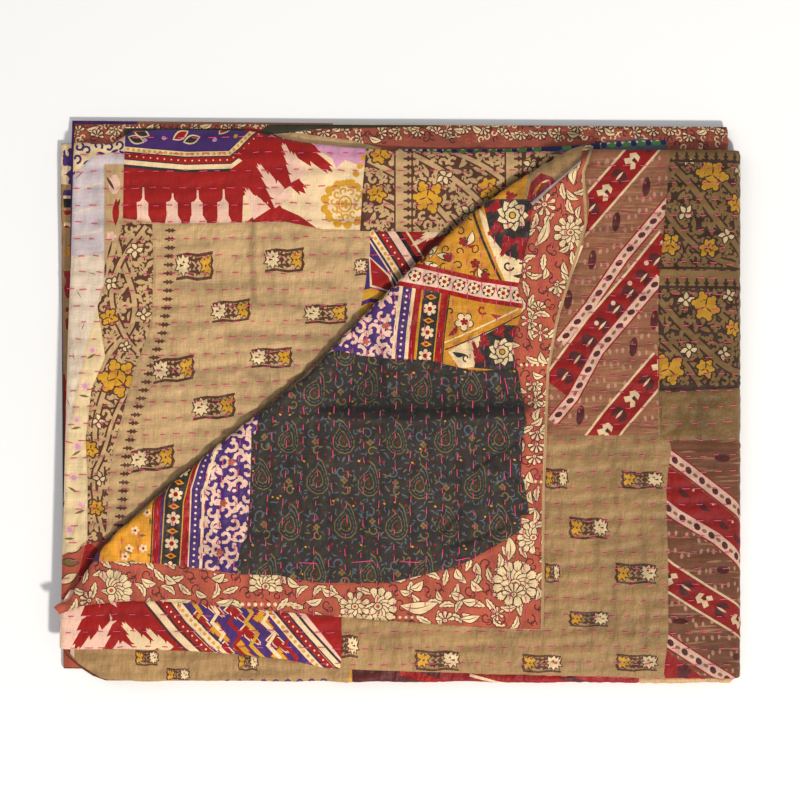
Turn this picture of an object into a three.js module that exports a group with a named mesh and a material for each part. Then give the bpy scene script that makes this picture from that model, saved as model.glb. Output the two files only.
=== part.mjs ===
// A quilted patchwork throw, folded into a flat pack with the top corner of its first layer turned
// down. The cloth is one closed sheet. It goes back and forth in four layers, and that stack is folded
// in half about an edge at the right, so that eight layers lie on each other, a little apart.
// Millimetres, +X right, +Y away, +Z up. The origin is under the middle of the pack.
import * as THREE from "three";

// The cloth and how closely its layers lie
const CLOTH = 2.3; // two or three old cloths, stitched through
const PINCH = 0.34; // share of that thickness drawn in at a stitched row
const LAYERS = 4; // in each leaf of the half fold
const PITCH = 3.5; // from the middle of one layer to the next
const STITCH_ROWS = 32; // across one layer, about 15 mm apart
const HALF_FOLD_X = 287.5; // where the right edge starts to round
const HALF_FOLD_RADIUS = 1.9; // of the innermost layer
const UPPER = PITCH * (LAYERS - 1); // from a leaf's innermost layer to its outermost

// Each hem or fold that runs across the cloth, outermost first: where it ends at the left hem on the
// upper leaf, how far up it lies at the half fold, where it ends on the lower leaf, and how much of its
// left corners is drawn up
const LINES = [
  { name: "first hem", upperX: -289, upperY: 260, foldY: 221, lowerX: -297, lowerY: 226, cut: 0 },
  { name: "first lower fold", upperX: -300, upperY: -219, foldY: -245, lowerX: -299, lowerY: -238, cut: 0 },
  { name: "upper fold", upperX: -288, upperY: 242, foldY: 214, lowerX: -301, lowerY: 229, cut: 0 },
  { name: "second lower fold", upperX: -291, upperY: -247, foldY: -249, lowerX: -296, lowerY: -248, cut: 22 },
  { name: "last hem", upperX: -289, upperY: 246, foldY: 243, lowerX: -291, lowerY: 249, cut: 0 },
];
// How far up each line lies from straight on the upper leaf, at these shares of the way across
const LINE_SHARES = [0, 0.06, 0.09, 0.2, 0.27, 0.34, 0.4, 0.48, 0.58, 0.64, 0.72, 0.78, 0.9, 1];
const LINE_SHIFTS = [
  [0, 1, 1, 1, 2, 2, 3, 11, 21, 19, 3, -7, -4, 0],
  [0, 2, 3, 4, 3, 0, -6, -6, -5, -5, -4, -3, -2, 0],
  [-13, -13, 1, 3, 5, -3, -6, -7, -7, -5, -2, 0, 0, 0],
  [0, 0, 0, 0, 0, 0, 0, 0, 0, 0, 0, 0, 0, 0],
  [0, 0, 0, 0, 0, 0, 0, 0, 0, 0, 0, 0, 0, 0],
];
const CUT_SHARE = 0.06; // of the way across, where a corner is drawn up
const HEM_BOW = 9; // how far the first layer's left hem bows out

// The turned corner: a point on its fold line, the direction along it to the lower left, and its roll
const TURN_POINT = new THREE.Vector2(65, 165);
const TURN_ALONG = new THREE.Vector2(-0.743, -0.669).normalize();
const TURN_ACROSS = new THREE.Vector2(-TURN_ALONG.y, TURN_ALONG.x);
const ROLL = 3.3; // radius of the roll
const SETTLE = 34; // the way over which the turned corner comes down onto the layer below
// The roll is drawn down at its ends and bows in its middle: where each place lies along the fold line,
// how far it is drawn, and its reach
const ROLL_DRAWS = [
  { along: -99, drawX: 24, drawY: -5, reach: 120 },
  { along: 206, drawX: 6, drawY: -7, reach: 200 },
  { along: 486, drawX: 5, drawY: -17, reach: 70 },
];
const ROLL_FADE = 40; // over which that fades in the layer under the roll

// The pack isn't flat: soft swells over the cloth, and edges that sink where fewer layers carry them
const SWELLS = [
  { height: 0.035, lengthX: 210, lengthY: 330, phase: 0.4 },
  { height: 0.028, lengthX: -150, lengthY: 190, phase: 2.1 },
  { height: 0.02, lengthX: 95, lengthY: -120, phase: 4.4 },
];
const EDGE_SINK = 0.14;
const EDGE_WIDTH = 45;
const OVERHANG_SINK = 0.42; // of the two layers that stick out at the top
const OVERHANG = { from: 214, to: 252 };
const SPAN = { x: 301, y: 250 }; // half sizes of the pack

// How finely the cloth is divided: shares across a leaf, turns round a fold, and parts of a plain layer
const UPPER_COLUMNS = [0, 0.06, 0.2, 0.34, 0.48, 0.58, 0.68, 0.78, 1];
const LOWER_COLUMNS = [0, 0.5, 0.91, 1];
const HALF_FOLD_STEPS = 6;
const FOLD_STEPS = 4;
const ROLL_STEPS = 5;
const SETTLE_STEPS = 2;
const PLAIN_PARTS = 5;

const lerp = THREE.MathUtils.lerp;
const clamp = THREE.MathUtils.clamp;
const smooth = THREE.MathUtils.smoothstep;

// A place in the cloth is (across, along). across is 0 to 1 over the upper leaf from its left hem, to 2
// round the half fold, and to 3 over the lower leaf. along is 0 to 1 over the first layer from its hem,
// to 2 round the first fold, to 3 over the second layer, and so on.
const LAST = 2 * LAYERS - 1;
const acrossLines = [
  ...UPPER_COLUMNS,
  ...Array.from({ length: HALF_FOLD_STEPS - 1 }, (_, i) => 1 + (i + 1) / HALF_FOLD_STEPS),
  ...LOWER_COLUMNS.map((share) => 2 + share),
];

// The places along one line of the cloth: two for each stitched row on the layers that show
function alongPlaces(across) {
  const places = [];
  for (let part = 0; part < LAST; part++) {
    const round = part % 2 === 1;
    const shows = part <= 2 && across <= 1;
    const steps = round ? FOLD_STEPS : shows ? 2 * STITCH_ROWS : PLAIN_PARTS;
    for (let i = 0; i < steps; i++) places.push(part + i / steps);
  }
  return [...places, LAST];
}

// How far up a line lies from straight at a share of the way across the upper leaf
function lineShift(line, share) {
  const shifts = LINE_SHIFTS[LINES.indexOf(line)];
  const next = Math.max(1, LINE_SHARES.findIndex((place) => place >= share));
  const [from, to] = [LINE_SHARES[next - 1], LINE_SHARES[next]];
  return lerp(shifts[next - 1], shifts[next], (share - from) / (to - from));
}

// Where one of LINES lies at a place across the cloth, before the half fold
function lineAt(line, across) {
  const drawn = (share) => line.cut * clamp(1 - share / CUT_SHARE, 0, 1) ** 1.5;
  if (across >= 2) {
    const share = across - 2;
    return {
      x: lerp(HALF_FOLD_X, line.lowerX, share),
      y: lerp(line.foldY, line.lowerY, share) + drawn(1 - share),
    };
  }
  const share = Math.min(across, 1);
  return {
    x: lerp(line.upperX, HALF_FOLD_X, share),
    y: lerp(line.upperY, line.foldY, share) + drawn(share) + lineShift(line, share),
  };
}

// Half the thickness of the cloth, drawn in along each stitched row of the layers that show
function halfThickness(across, along) {
  const inRow = 1 - Math.abs(2 * ((along * STITCH_ROWS) % 1) - 1);
  const shows = along % 2 <= 1 && along <= 3 && across <= 1;
  return (CLOTH / 2) * (shows ? 1 - PINCH * inRow : 1 - PINCH / 2);
}

// How far past the start of the turned corner's roll a place in the first layer lies
function pastRoll(x, y) {
  return ROLL - new THREE.Vector2(x, y).sub(TURN_POINT).dot(TURN_ACROSS);
}

// Turns the corner of the first layer. offset is the height over that layer's middle.
function turnCorner(x, y, offset) {
  const past = pastRoll(x, y);
  const along = new THREE.Vector2(x, y).sub(TURN_POINT).dot(TURN_ALONG);
  let across = ROLL - past;
  let height = offset;
  let share = Math.exp(-Math.max(-past, 0) / ROLL_FADE);
  if (past > 0) {
    const angle = Math.min(past / ROLL, Math.PI);
    const beyond = Math.max(past - Math.PI * ROLL, 0);
    const down = (2 * ROLL - PITCH) * smooth(beyond, 0, SETTLE);
    across = ROLL - (ROLL - offset) * Math.sin(angle) + beyond;
    height = ROLL - (ROLL - offset) * Math.cos(angle) - down;
    share = 1;
  }
  const turned = TURN_POINT.clone().addScaledVector(TURN_ALONG, along);
  turned.addScaledVector(TURN_ACROSS, across);
  for (const draw of ROLL_DRAWS) {
    const near = share * clamp(1 - Math.abs(along - draw.along) / draw.reach, 0, 1) ** 2;
    turned.x += draw.drawX * near;
    turned.y += draw.drawY * near;
  }
  return { x: turned.x, y: turned.y, height };
}

// The share of its height that the pack keeps at a place
function heightShare(x, y) {
  let share = 1;
  for (const swell of SWELLS) {
    share += swell.height * Math.sin(x / swell.lengthX + y / swell.lengthY + swell.phase);
  }
  const inside = Math.min(SPAN.x - Math.abs(x), SPAN.y - Math.abs(y));
  share -= EDGE_SINK * (1 - smooth(inside, 0, EDGE_WIDTH));
  return share - OVERHANG_SINK * smooth(y, OVERHANG.from, OVERHANG.to);
}

// The position of a place in the cloth, on its first face (side 1) or its second (side -1)
function place(across, along, side) {
  const part = Math.min(Math.floor(along), LAST - 1);
  const share = along - part;
  const layer = Math.floor(part / 2);
  const facesUp = layer % 2 === 0;
  const offset = side * halfThickness(across, along) * (facesUp ? 1 : -1);
  const before = lineAt(LINES[layer], across);
  const after = lineAt(LINES[layer + 1], across);
  const level = PITCH * (LAYERS - 1 - layer);
  const endRoom = PITCH / 2 + CLOTH / 2; // a line's place is its outermost point
  const outward = facesUp ? -1 : 1; // the way to the fold at this layer's far end
  let { x, y } = before;
  let height = level + offset;
  if (part % 2 === 1) {
    const radius = PITCH / 2 + offset;
    const angle = share * Math.PI;
    x = after.x;
    y = after.y + outward * (radius * Math.sin(angle) - endRoom);
    height = level - PITCH / 2 + radius * Math.cos(angle);
  } else {
    const start = before.y + (layer === 0 ? 0 : outward * endRoom);
    const end = after.y - (layer === LAYERS - 1 ? 0 : outward * endRoom);
    x = lerp(before.x, after.x, share);
    y = lerp(start, end, share);
    if (layer === 0 && across <= 1) {
      x -= HEM_BOW * (1 - across) * 4 * share * (1 - share);
      const turned = turnCorner(x, y, offset);
      x = turned.x;
      y = turned.y;
      height = level + turned.height;
    }
  }
  const radius = HALF_FOLD_RADIUS + height;
  const angle = clamp(across - 1, 0, 1) * Math.PI;
  const middle = UPPER + HALF_FOLD_RADIUS + (CLOTH / 2) * (1 - PINCH / 2);
  x += radius * Math.sin(angle);
  const z = middle + radius * Math.cos(angle);
  return new THREE.Vector3(x, y, z * heightShare(x, y));
}

// The cloth as a flat net of faces, cut finely where the corner rolls over
class Net {
  places = [];
  keys = new Map();
  faces = [];

  add(across, along) {
    const key = across.toFixed(7) + "_" + along.toFixed(7);
    if (!this.keys.has(key)) {
      this.keys.set(key, this.places.length);
      this.places.push({ across, along });
    }
    return this.keys.get(key);
  }

  // Fills the strip between two neighbouring lines across the cloth with triangles
  fillStrip(left, right) {
    const a = alongPlaces(left);
    const b = alongPlaces(right);
    let i = 0;
    let j = 0;
    while (i < a.length - 1 || j < b.length - 1) {
      const stepLeft = j === b.length - 1 || (i < a.length - 1 && a[i + 1] <= b[j + 1]);
      const here = [this.add(left, a[i]), this.add(right, b[j])];
      if (stepLeft) this.faces.push([...here, this.add(left, a[++i])]);
      else this.faces.push([...here, this.add(right, b[++j])]);
    }
  }

  // Cuts every face where a value of its places passes a level
  cut(valueOf, level) {
    const NEAR = 0.25;
    const values = this.places.map((p) => valueOf(p) - level).map((v) => (Math.abs(v) < NEAR ? 0 : v));
    const made = [];
    for (const face of this.faces) {
      const low = [];
      const high = [];
      face.forEach((from, i) => {
        const to = face[(i + 1) % face.length];
        if (values[from] <= 0) low.push(from);
        if (values[from] >= 0) high.push(from);
        if (values[from] * values[to] < 0) {
          const [p, q] = from < to ? [from, to] : [to, from];
          const share = values[p] / (values[p] - values[q]);
          const between = this.add(
            lerp(this.places[p].across, this.places[q].across, share),
            lerp(this.places[p].along, this.places[q].along, share),
          );
          values[between] = 0;
          low.push(between);
          high.push(between);
        }
      });
      made.push(...[low, high].filter((part) => part.length > 2));
    }
    this.faces = made;
  }
}

// The net's two sides and the rim that joins them, as one closed geometry
function clothGeometry() {
  const net = new Net();
  for (let i = 0; i + 1 < acrossLines.length; i++) net.fillStrip(acrossLines[i], acrossLines[i + 1]);

  const pastRollAt = ({ across, along }) => {
    if (across > 1 || along > 1) return -Infinity;
    const start = lineAt(LINES[0], across);
    const end = lineAt(LINES[1], across);
    const bow = HEM_BOW * (1 - across) * 4 * along * (1 - along);
    return pastRoll(lerp(start.x, end.x, along) - bow, lerp(start.y, end.y, along));
  };
  const turn = Math.PI * ROLL;
  for (let i = 0; i <= ROLL_STEPS; i++) net.cut(pastRollAt, (turn * i) / ROLL_STEPS);
  for (let i = 1; i <= SETTLE_STEPS; i++) net.cut(pastRollAt, turn + (SETTLE * i) / SETTLE_STEPS);

  const first = net.places.length;
  const points = [1, -1].flatMap((side) => net.places.map((p) => place(p.across, p.along, side)));
  const index = [];
  const edges = new Map();
  for (const face of net.faces) {
    for (let i = 1; i + 1 < face.length; i++) {
      const [a, b, c] = [face[0], face[i], face[i + 1]];
      index.push(a, c, b, a + first, b + first, c + first);
    }
    face.forEach((from, i) => {
      const to = face[(i + 1) % face.length];
      const back = to + "_" + from;
      if (!edges.delete(back)) edges.set(from + "_" + to, [from, to]);
    });
  }
  for (const [from, to] of edges.values()) {
    index.push(from, to, to + first, from, to + first, from + first);
  }
  const geometry = new THREE.BufferGeometry().setFromPoints(points);
  geometry.setIndex(index);
  geometry.computeVertexNormals();
  return geometry;
}

const throwCloth = new THREE.Mesh(
  clothGeometry(),
  new THREE.MeshStandardMaterial({ color: 0xa8865c, roughness: 0.72, metalness: 0 }),
);
throwCloth.name = "quilt";
const reach = new THREE.Box3().setFromObject(throwCloth);
throwCloth.position.set(-(reach.min.x + reach.max.x) / 2, -(reach.min.y + reach.max.y) / 2, 0);

const pack = new THREE.Group();
pack.add(throwCloth);

export default pack;
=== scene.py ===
# A quilted throw of printed patchwork, folded flat with one corner turned down, seen from above.
import math
from functools import partial

import bpy
import numpy as np
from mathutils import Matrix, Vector, kdtree, noise
from mathutils.geometry import delaunay_2d_cdt


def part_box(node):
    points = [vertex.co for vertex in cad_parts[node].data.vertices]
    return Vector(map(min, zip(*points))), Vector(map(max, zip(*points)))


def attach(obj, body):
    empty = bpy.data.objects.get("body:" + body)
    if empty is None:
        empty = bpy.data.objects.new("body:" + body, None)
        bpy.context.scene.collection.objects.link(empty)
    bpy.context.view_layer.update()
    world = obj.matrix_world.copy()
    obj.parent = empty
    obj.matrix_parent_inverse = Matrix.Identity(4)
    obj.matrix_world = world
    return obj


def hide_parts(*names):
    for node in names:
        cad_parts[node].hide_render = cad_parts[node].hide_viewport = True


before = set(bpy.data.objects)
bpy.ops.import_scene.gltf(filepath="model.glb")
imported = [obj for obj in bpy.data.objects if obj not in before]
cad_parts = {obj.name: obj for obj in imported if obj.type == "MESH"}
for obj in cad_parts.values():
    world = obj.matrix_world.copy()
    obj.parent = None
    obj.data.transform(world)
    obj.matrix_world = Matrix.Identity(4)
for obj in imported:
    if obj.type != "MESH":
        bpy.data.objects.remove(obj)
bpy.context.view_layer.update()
MM = 0.001

# The quilted sheet. It is two or three old cloths stitched through, folded back and forth in four
# layers and then in half about its right edge. The first layer's upper left corner is turned down over
# a soft roll. Sizes are in millimetres, and they are the solid's own.
CLOTH = 2.3
PINCH = 0.34
LAYERS = 4
PITCH = 3.5
END_ROOM = (PITCH + CLOTH) / 2
SHEET_HALF = CLOTH / 2 * (1 - PINCH / 2)
HALF_FOLD_X = 287.5
HALF_FOLD_RADIUS = 1.9
UPPER = PITCH * (LAYERS - 1)
LAST = 2 * LAYERS - 1
LINES = [dict(name="first hem", upper_x=-289, upper_y=260, fold_y=221, lower_x=-297, lower_y=226, cut=0),
    dict(name="first lower fold", upper_x=-300, upper_y=-219, fold_y=-245, lower_x=-299, lower_y=-238,
        cut=0),
    dict(name="upper fold", upper_x=-288, upper_y=242, fold_y=214, lower_x=-301, lower_y=229, cut=0),
    dict(name="second lower fold", upper_x=-291, upper_y=-247, fold_y=-249, lower_x=-296, lower_y=-248,
        cut=22),
    dict(name="last hem", upper_x=-289, upper_y=246, fold_y=243, lower_x=-291, lower_y=249, cut=0)]
LINE = {key: np.array([row[key] for row in LINES], float) for key in LINES[0] if key != "name"}
LINE_SHARES = [0, 0.06, 0.09, 0.2, 0.27, 0.34, 0.4, 0.48, 0.58, 0.64, 0.72, 0.78, 0.9, 1]
LINE_SHIFTS = [
    [0, 1, 1, 1, 2, 2, 3, 11, 21, 19, 3, -7, -4, 0],
    [0, 2, 3, 4, 3, 0, -6, -6, -5, -5, -4, -3, -2, 0],
    [-13, -13, 1, 3, 5, -3, -6, -7, -7, -5, -2, 0, 0, 0],
    [0] * len(LINE_SHARES),
    [0] * len(LINE_SHARES),
]
CUT_SHARE = 0.06
HEM_BOW = 9
TURN_POINT = np.array([65.0, 165.0])
TURN_ALONG = np.array([-0.743, -0.669]) / math.hypot(0.743, 0.669)
TURN_ACROSS = np.array([-TURN_ALONG[1], TURN_ALONG[0]])
ROLL = 3.3
SETTLE = 34
ROLL_DRAWS = [
    dict(along=-99, draw=(24, -5), reach=120),
    dict(along=206, draw=(6, -7), reach=200),
    dict(along=486, draw=(5, -17), reach=70),
]
ROLL_FADE = 40
SWELLS = [
    dict(height=0.035, length_x=210, length_y=330, phase=0.4),
    dict(height=0.028, length_x=-150, length_y=190, phase=2.1),
    dict(height=0.02, length_x=95, length_y=-120, phase=4.4),
]
EDGE_SINK, EDGE_WIDTH = 0.14, 45
OVERHANG_SINK, OVERHANG_FROM, OVERHANG_TO = 0.42, 214, 252
SPAN = (301, 250)


def smooth(value, low, high):
    share = np.clip((value - low) / (high - low), 0, 1)
    return share * share * (3 - 2 * share)


def line_at(line, across):
    """Where a hem or fold lies, for arrays of line numbers and places across the cloth."""
    share = np.where(across >= 2, 3 - across, np.minimum(across, 1))
    end_x = np.where(across >= 2, LINE["lower_x"][line], LINE["upper_x"][line])
    end_y = np.where(across >= 2, LINE["lower_y"][line], LINE["upper_y"][line])
    drawn = LINE["cut"][line] * np.clip(1 - share / CUT_SHARE, 0, 1) ** 1.5
    shift = np.choose(line, [np.interp(share, LINE_SHARES, shifts) for shifts in LINE_SHIFTS])
    shift = np.where(across >= 2, 0, shift)
    x = end_x + (HALF_FOLD_X - end_x) * share
    y = end_y + (LINE["fold_y"][line] - end_y) * share
    return x, y + drawn + shift


def hem_bow(across, along):
    """How far the first layer's upper part is drawn in beside its turned corner."""
    return HEM_BOW * (1 - across) * 4 * along * (1 - along)


def roll_places(x, y):
    """How far along and across the turned corner's fold line places lie, in its own directions."""
    from_point = np.stack([x, y], -1) - TURN_POINT
    return from_point @ TURN_ALONG, from_point @ TURN_ACROSS


def draw_roll(x, y, along, share):
    """Draws down the two ends of the roll and bows its middle."""
    for row in ROLL_DRAWS:
        near = share * np.clip(1 - np.abs(along - row["along"]) / row["reach"], 0, 1) ** 2
        x = x + row["draw"][0] * near
        y = y + row["draw"][1] * near
    return x, y


def turn_corner(x, y, offset):
    """Turns the corner of the first layer. offset is the height over that layer's middle."""
    along, across = roll_places(x, y)
    past = ROLL - across
    angle = np.clip(past / ROLL, 0, math.pi)
    beyond = np.maximum(past - math.pi * ROLL, 0)
    down = (2 * ROLL - PITCH) * smooth(beyond, 0, SETTLE)
    turned = past > 0
    new_across = np.where(turned, ROLL - (ROLL - offset) * np.sin(angle) + beyond, across)
    height = np.where(turned, ROLL - (ROLL - offset) * np.cos(angle) - down, offset)
    share = np.where(turned, 1, np.exp(-np.maximum(-past, 0) / ROLL_FADE))
    place = TURN_POINT + along[..., None] * TURN_ALONG + new_across[..., None] * TURN_ACROSS
    new_x, new_y = draw_roll(place[..., 0], place[..., 1], along, share)
    return new_x, new_y, height


def height_share(x, y):
    """The share of its height that the pack keeps at a place: soft swells, and edges that sink."""
    share = 1.0
    for swell in SWELLS:
        share = share + swell["height"] * np.sin(x / swell["length_x"] + y / swell["length_y"]
            + swell["phase"])
    inside = np.minimum(SPAN[0] - np.abs(x), SPAN[1] - np.abs(y))
    share = share - EDGE_SINK * (1 - smooth(inside, 0, EDGE_WIDTH))
    return share - OVERHANG_SINK * smooth(y, OVERHANG_FROM, OVERHANG_TO)


MIDDLE = UPPER + HALF_FOLD_RADIUS + SHEET_HALF


def half_fold(x, y, height, turn):
    """Takes a height over the upper leaf's innermost layer round the half fold, by an angle."""
    radius = HALF_FOLD_RADIUS + height
    x = x + radius * np.sin(turn)
    z = MIDDLE + radius * np.cos(turn)
    return np.stack([x, y, z * height_share(x, y)], -1)


def sheet_place(across, along, offset):
    """The position of places in the folded sheet. offset is the height over its middle, first face out."""
    part = np.minimum(np.floor(along), LAST - 1).astype(int)
    share = along - part
    layer = part // 2
    faces_up = np.where(layer % 2 == 0, 1, -1)
    offset = offset * faces_up
    before_x, before_y = line_at(layer, across)
    after_x, after_y = line_at(layer + 1, across)
    level = PITCH * (LAYERS - 1 - layer)
    outward = -faces_up
    radius = PITCH / 2 + offset
    turn = share * math.pi
    start = before_y + np.where(layer == 0, 0, outward * END_ROOM)
    end = after_y - np.where(layer == LAYERS - 1, 0, outward * END_ROOM)
    flat_x = before_x + (after_x - before_x) * share
    flat_y = start + (end - start) * share
    first = (layer == 0) & (across <= 1)
    flat_x = flat_x - np.where(first, hem_bow(across, share), 0)
    turned_x, turned_y, turned_height = turn_corner(flat_x, flat_y, offset)
    flat_x = np.where(first, turned_x, flat_x)
    flat_y = np.where(first, turned_y, flat_y)
    flat_height = level + np.where(first, turned_height, offset)
    bends = part % 2 == 1
    x = np.where(bends, after_x, flat_x)
    y = np.where(bends, after_y + outward * (radius * np.sin(turn) - END_ROOM), flat_y)
    height = np.where(bends, level - PITCH / 2 + radius * np.cos(turn), flat_height)
    return half_fold(x, y, height, np.clip(across - 1, 0, 1) * math.pi)


ACROSS_STEPS = [(0, 1, 76), (1, 2, 12), (2, 3, 50)]
LAYER_STEPS, BEND_STEPS = 40, 6
ROLL_STEPS, SETTLE_STEPS = 8, 4
ON_LINE = 0.25


def sheet_net():
    """The flat net of the sheet: its places and its faces, on a grid that is finest across the upper leaf,
    where the corner rolls over.
    """
    across = np.concatenate([np.linspace(a, b, n, endpoint=False) for a, b, n in ACROSS_STEPS] + [[3]])
    counts = [BEND_STEPS if part % 2 else LAYER_STEPS for part in range(LAST)]
    along = np.concatenate([np.linspace(i, i + 1, n, endpoint=False) for i, n in enumerate(counts)]
        + [[LAST]])
    grid_across, grid_along = np.meshgrid(across, along, indexing="ij")
    places = np.stack([grid_across.ravel(), grid_along.ravel()], -1)
    number = np.arange(len(places)).reshape(grid_across.shape)
    faces = np.stack([number[:-1, :-1], number[:-1, 1:], number[1:, 1:], number[1:, :-1]], -1)
    return places, [list(face) for face in faces.reshape(-1, 4)]


def past_roll(places):
    """How far past the start of the corner's roll places of the net lie."""
    across, along = places[:, 0], places[:, 1]
    first = (across <= 1) & (along <= 1)
    line = np.zeros(len(places), int)
    start_x, start_y = line_at(line, across)
    end_x, end_y = line_at(line + 1, across)
    x = start_x + (end_x - start_x) * along - hem_bow(across, along)
    y = start_y + (end_y - start_y) * along
    return np.where(first, ROLL - roll_places(x, y)[1], -np.inf)


def cut_net(places, faces, level):
    """Cuts the faces of the net where past_roll passes a level."""
    values = past_roll(places) - level
    values[np.abs(values) < ON_LINE] = 0
    values = list(values)
    places = [tuple(place) for place in places]
    between = {}
    made = []
    for face in faces:
        own = [values[i] for i in face]
        if max(own) <= 0 or min(own) >= 0:
            made.append(face)
            continue
        low, high = [], []
        for i, a in enumerate(face):
            b = face[(i + 1) % len(face)]
            if values[a] <= 0:
                low.append(a)
            if values[a] >= 0:
                high.append(a)
            if values[a] * values[b] < 0:
                key = (min(a, b), max(a, b))
                if key not in between:
                    share = values[key[0]] / (values[key[0]] - values[key[1]])
                    p, q = places[key[0]], places[key[1]]
                    between[key] = len(places)
                    places.append((p[0] + (q[0] - p[0]) * share, p[1] + (q[1] - p[1]) * share))
                    values.append(0)
                low.append(between[key])
                high.append(between[key])
        made += [part for part in (low, high) if len(part) > 2]
    return np.array(places), made


# The dyes of the old cloths, as sRGB colours.
DYES = dict(
    tan=(197, 160, 112),
    deep_tan=(168, 128, 82),
    dull_tan=(172, 134, 86),
    brown=(90, 50, 32),
    yellow=(210, 152, 36),
    red=(156, 14, 8),
    cream=(238, 205, 160),
    salmon=(178, 84, 60),
    petal=(232, 203, 154),
    maroon=(88, 30, 30),
    charcoal=(50, 42, 39),
    slate=(84, 94, 102),
    olive=(122, 104, 56),
    purple=(70, 38, 104),
    ochre=(224, 150, 32),
    sky=(206, 190, 190),
    white=(224, 202, 176),
    blush=(236, 190, 166),
    lilac=(214, 150, 176),
    green=(84, 136, 72),
    navy=(38, 40, 88),
    black=(30, 22, 22),
    dusk=(156, 100, 68),
    dull_dusk=(140, 86, 60),
    bright_dusk=(174, 120, 86),
    umber=(124, 74, 46),
    mustard=(202, 136, 32),
    rose=(196, 142, 116),
    drab=(140, 106, 60),
    earth=(66, 38, 24),
    brick=(150, 74, 56),
    crimson=(150, 22, 24),
    thread=(226, 78, 118),
    grey=(150, 130, 112),
    moss=(56, 52, 38),
)


def linear(colour):
    """An sRGB colour of 0 to 255 as the linear one that shaders use."""
    parts = [c / 255 for c in colour]
    return tuple(c / 12.92 if c <= 0.04045 else ((c + 0.055) / 1.055) ** 2.4 for c in parts)


def link_node(tree, kind, place, values=(), **settings):
    """A node with its settings, its plain values, and its links, which are given as other nodes' sockets."""
    node = tree.nodes.new(kind)
    node.location = place
    for name, value in settings.items():
        setattr(node, name, value)
    for name, value in dict(values).items():
        if isinstance(value, bpy.types.NodeSocket):
            tree.links.new(value, node.inputs[name])
        else:
            node.inputs[name].default_value = value
    return node


THREADS, FIBRES, BLOTCHES, CRINKLES = 1500, 420, 28, 62
RELIEF_DEPTH, CRINKLE_DEPTH = 0.00025, 0.006


def woven_cloth_group():
    """Old plain-woven cloth: uneven dye, thick and thin threads, and the relief of its weave."""
    tree = bpy.data.node_groups.new("woven cloth", "ShaderNodeTree")
    sockets = [
        ("Dye", "INPUT", "NodeSocketColor"),
        ("Fading", "INPUT", "NodeSocketFloat"),
        ("Slubs", "INPUT", "NodeSocketFloat"),
        ("Roughness", "INPUT", "NodeSocketFloat"),
        ("Relief", "INPUT", "NodeSocketFloat"),
        ("Crinkles", "INPUT", "NodeSocketFloat"),
        ("Colour", "OUTPUT", "NodeSocketColor"),
        ("Roughness", "OUTPUT", "NodeSocketFloat"),
        ("Normal", "OUTPUT", "NodeSocketVector"),
    ]
    for name, way, kind in sockets:
        tree.interface.new_socket(name, in_out=way, socket_type=kind)
    given = tree.nodes.new("NodeGroupInput")
    made = tree.nodes.new("NodeGroupOutput")
    given.location = (-1500, 0)
    made.location = (900, 0)
    where = link_node(tree, "ShaderNodeTexCoord", (-1500, -400)).outputs["Object"]

    def threads(along, place, scale, detail):
        stretched = link_node(tree, "ShaderNodeMapping", place, {"Vector": where, "Scale": along})
        grain = link_node(tree, "ShaderNodeTexNoise", (place[0] + 200, place[1]),
            {"Vector": stretched.outputs["Vector"], "Scale": scale, "Detail": detail})
        return grain.outputs["Fac"]

    warp = threads((1, 0.05, 0.05), (-1250, 300), THREADS, 2)
    weft = threads((0.05, 1, 0.05), (-1250, 0), THREADS, 2)
    broad = threads((1, 1, 1), (-1250, -300), BLOTCHES, 4)
    fine = threads((1, 1, 1), (-1250, -600), FIBRES, 3)
    crossed = link_node(tree, "ShaderNodeMath", (-750, 150), {0: warp, 1: weft}, operation="ADD")
    uneven = link_node(tree, "ShaderNodeMapRange", (-550, 150),
        {"Value": crossed.outputs[0], "From Min": 0.7, "From Max": 1.3, "To Min": -1, "To Max": 1})
    slubs = link_node(tree, "ShaderNodeMath", (-350, 150),
        {0: uneven.outputs[0], 1: given.outputs["Slubs"]}, operation="MULTIPLY")
    worn = link_node(tree, "ShaderNodeMapRange", (-550, -150),
        {"Value": broad, "From Min": 0.3, "From Max": 0.7, "To Min": -1, "To Max": 1})
    faded = link_node(tree, "ShaderNodeMath", (-350, -150),
        {0: worn.outputs[0], 1: given.outputs["Fading"]}, operation="MULTIPLY")
    both = link_node(tree, "ShaderNodeMath", (-150, 0), {0: slubs.outputs[0], 1: faded.outputs[0]},
        operation="ADD")
    value = link_node(tree, "ShaderNodeMath", (50, 0), {0: both.outputs[0], 1: 1.0}, operation="ADD")
    shade = link_node(tree, "ShaderNodeHueSaturation", (250, 150),
        {"Color": given.outputs["Dye"], "Value": value.outputs[0]})
    gloss = link_node(tree, "ShaderNodeMath", (250, -100),
        {0: fine, 1: 0.16, 2: given.outputs["Roughness"]}, operation="MULTIPLY_ADD")
    height = link_node(tree, "ShaderNodeMath", (-150, -350), {0: crossed.outputs[0], 1: fine},
        operation="ADD")
    bump = link_node(tree, "ShaderNodeBump", (250, -350),
        {"Height": height.outputs[0], "Strength": given.outputs["Relief"], "Distance": RELIEF_DEPTH})
    gathered = threads((1.6, 1, 1), (-1250, -900), CRINKLES, 5)
    crinkled = link_node(tree, "ShaderNodeBump", (500, -500), {"Height": gathered,
        "Strength": given.outputs["Crinkles"], "Distance": CRINKLE_DEPTH, "Normal": bump.outputs["Normal"]})
    tree.links.new(shade.outputs["Color"], made.inputs["Colour"])
    tree.links.new(gloss.outputs[0], made.inputs["Roughness"])
    tree.links.new(crinkled.outputs["Normal"], made.inputs["Normal"])
    return tree


WOVEN_CLOTH = woven_cloth_group()


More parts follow.
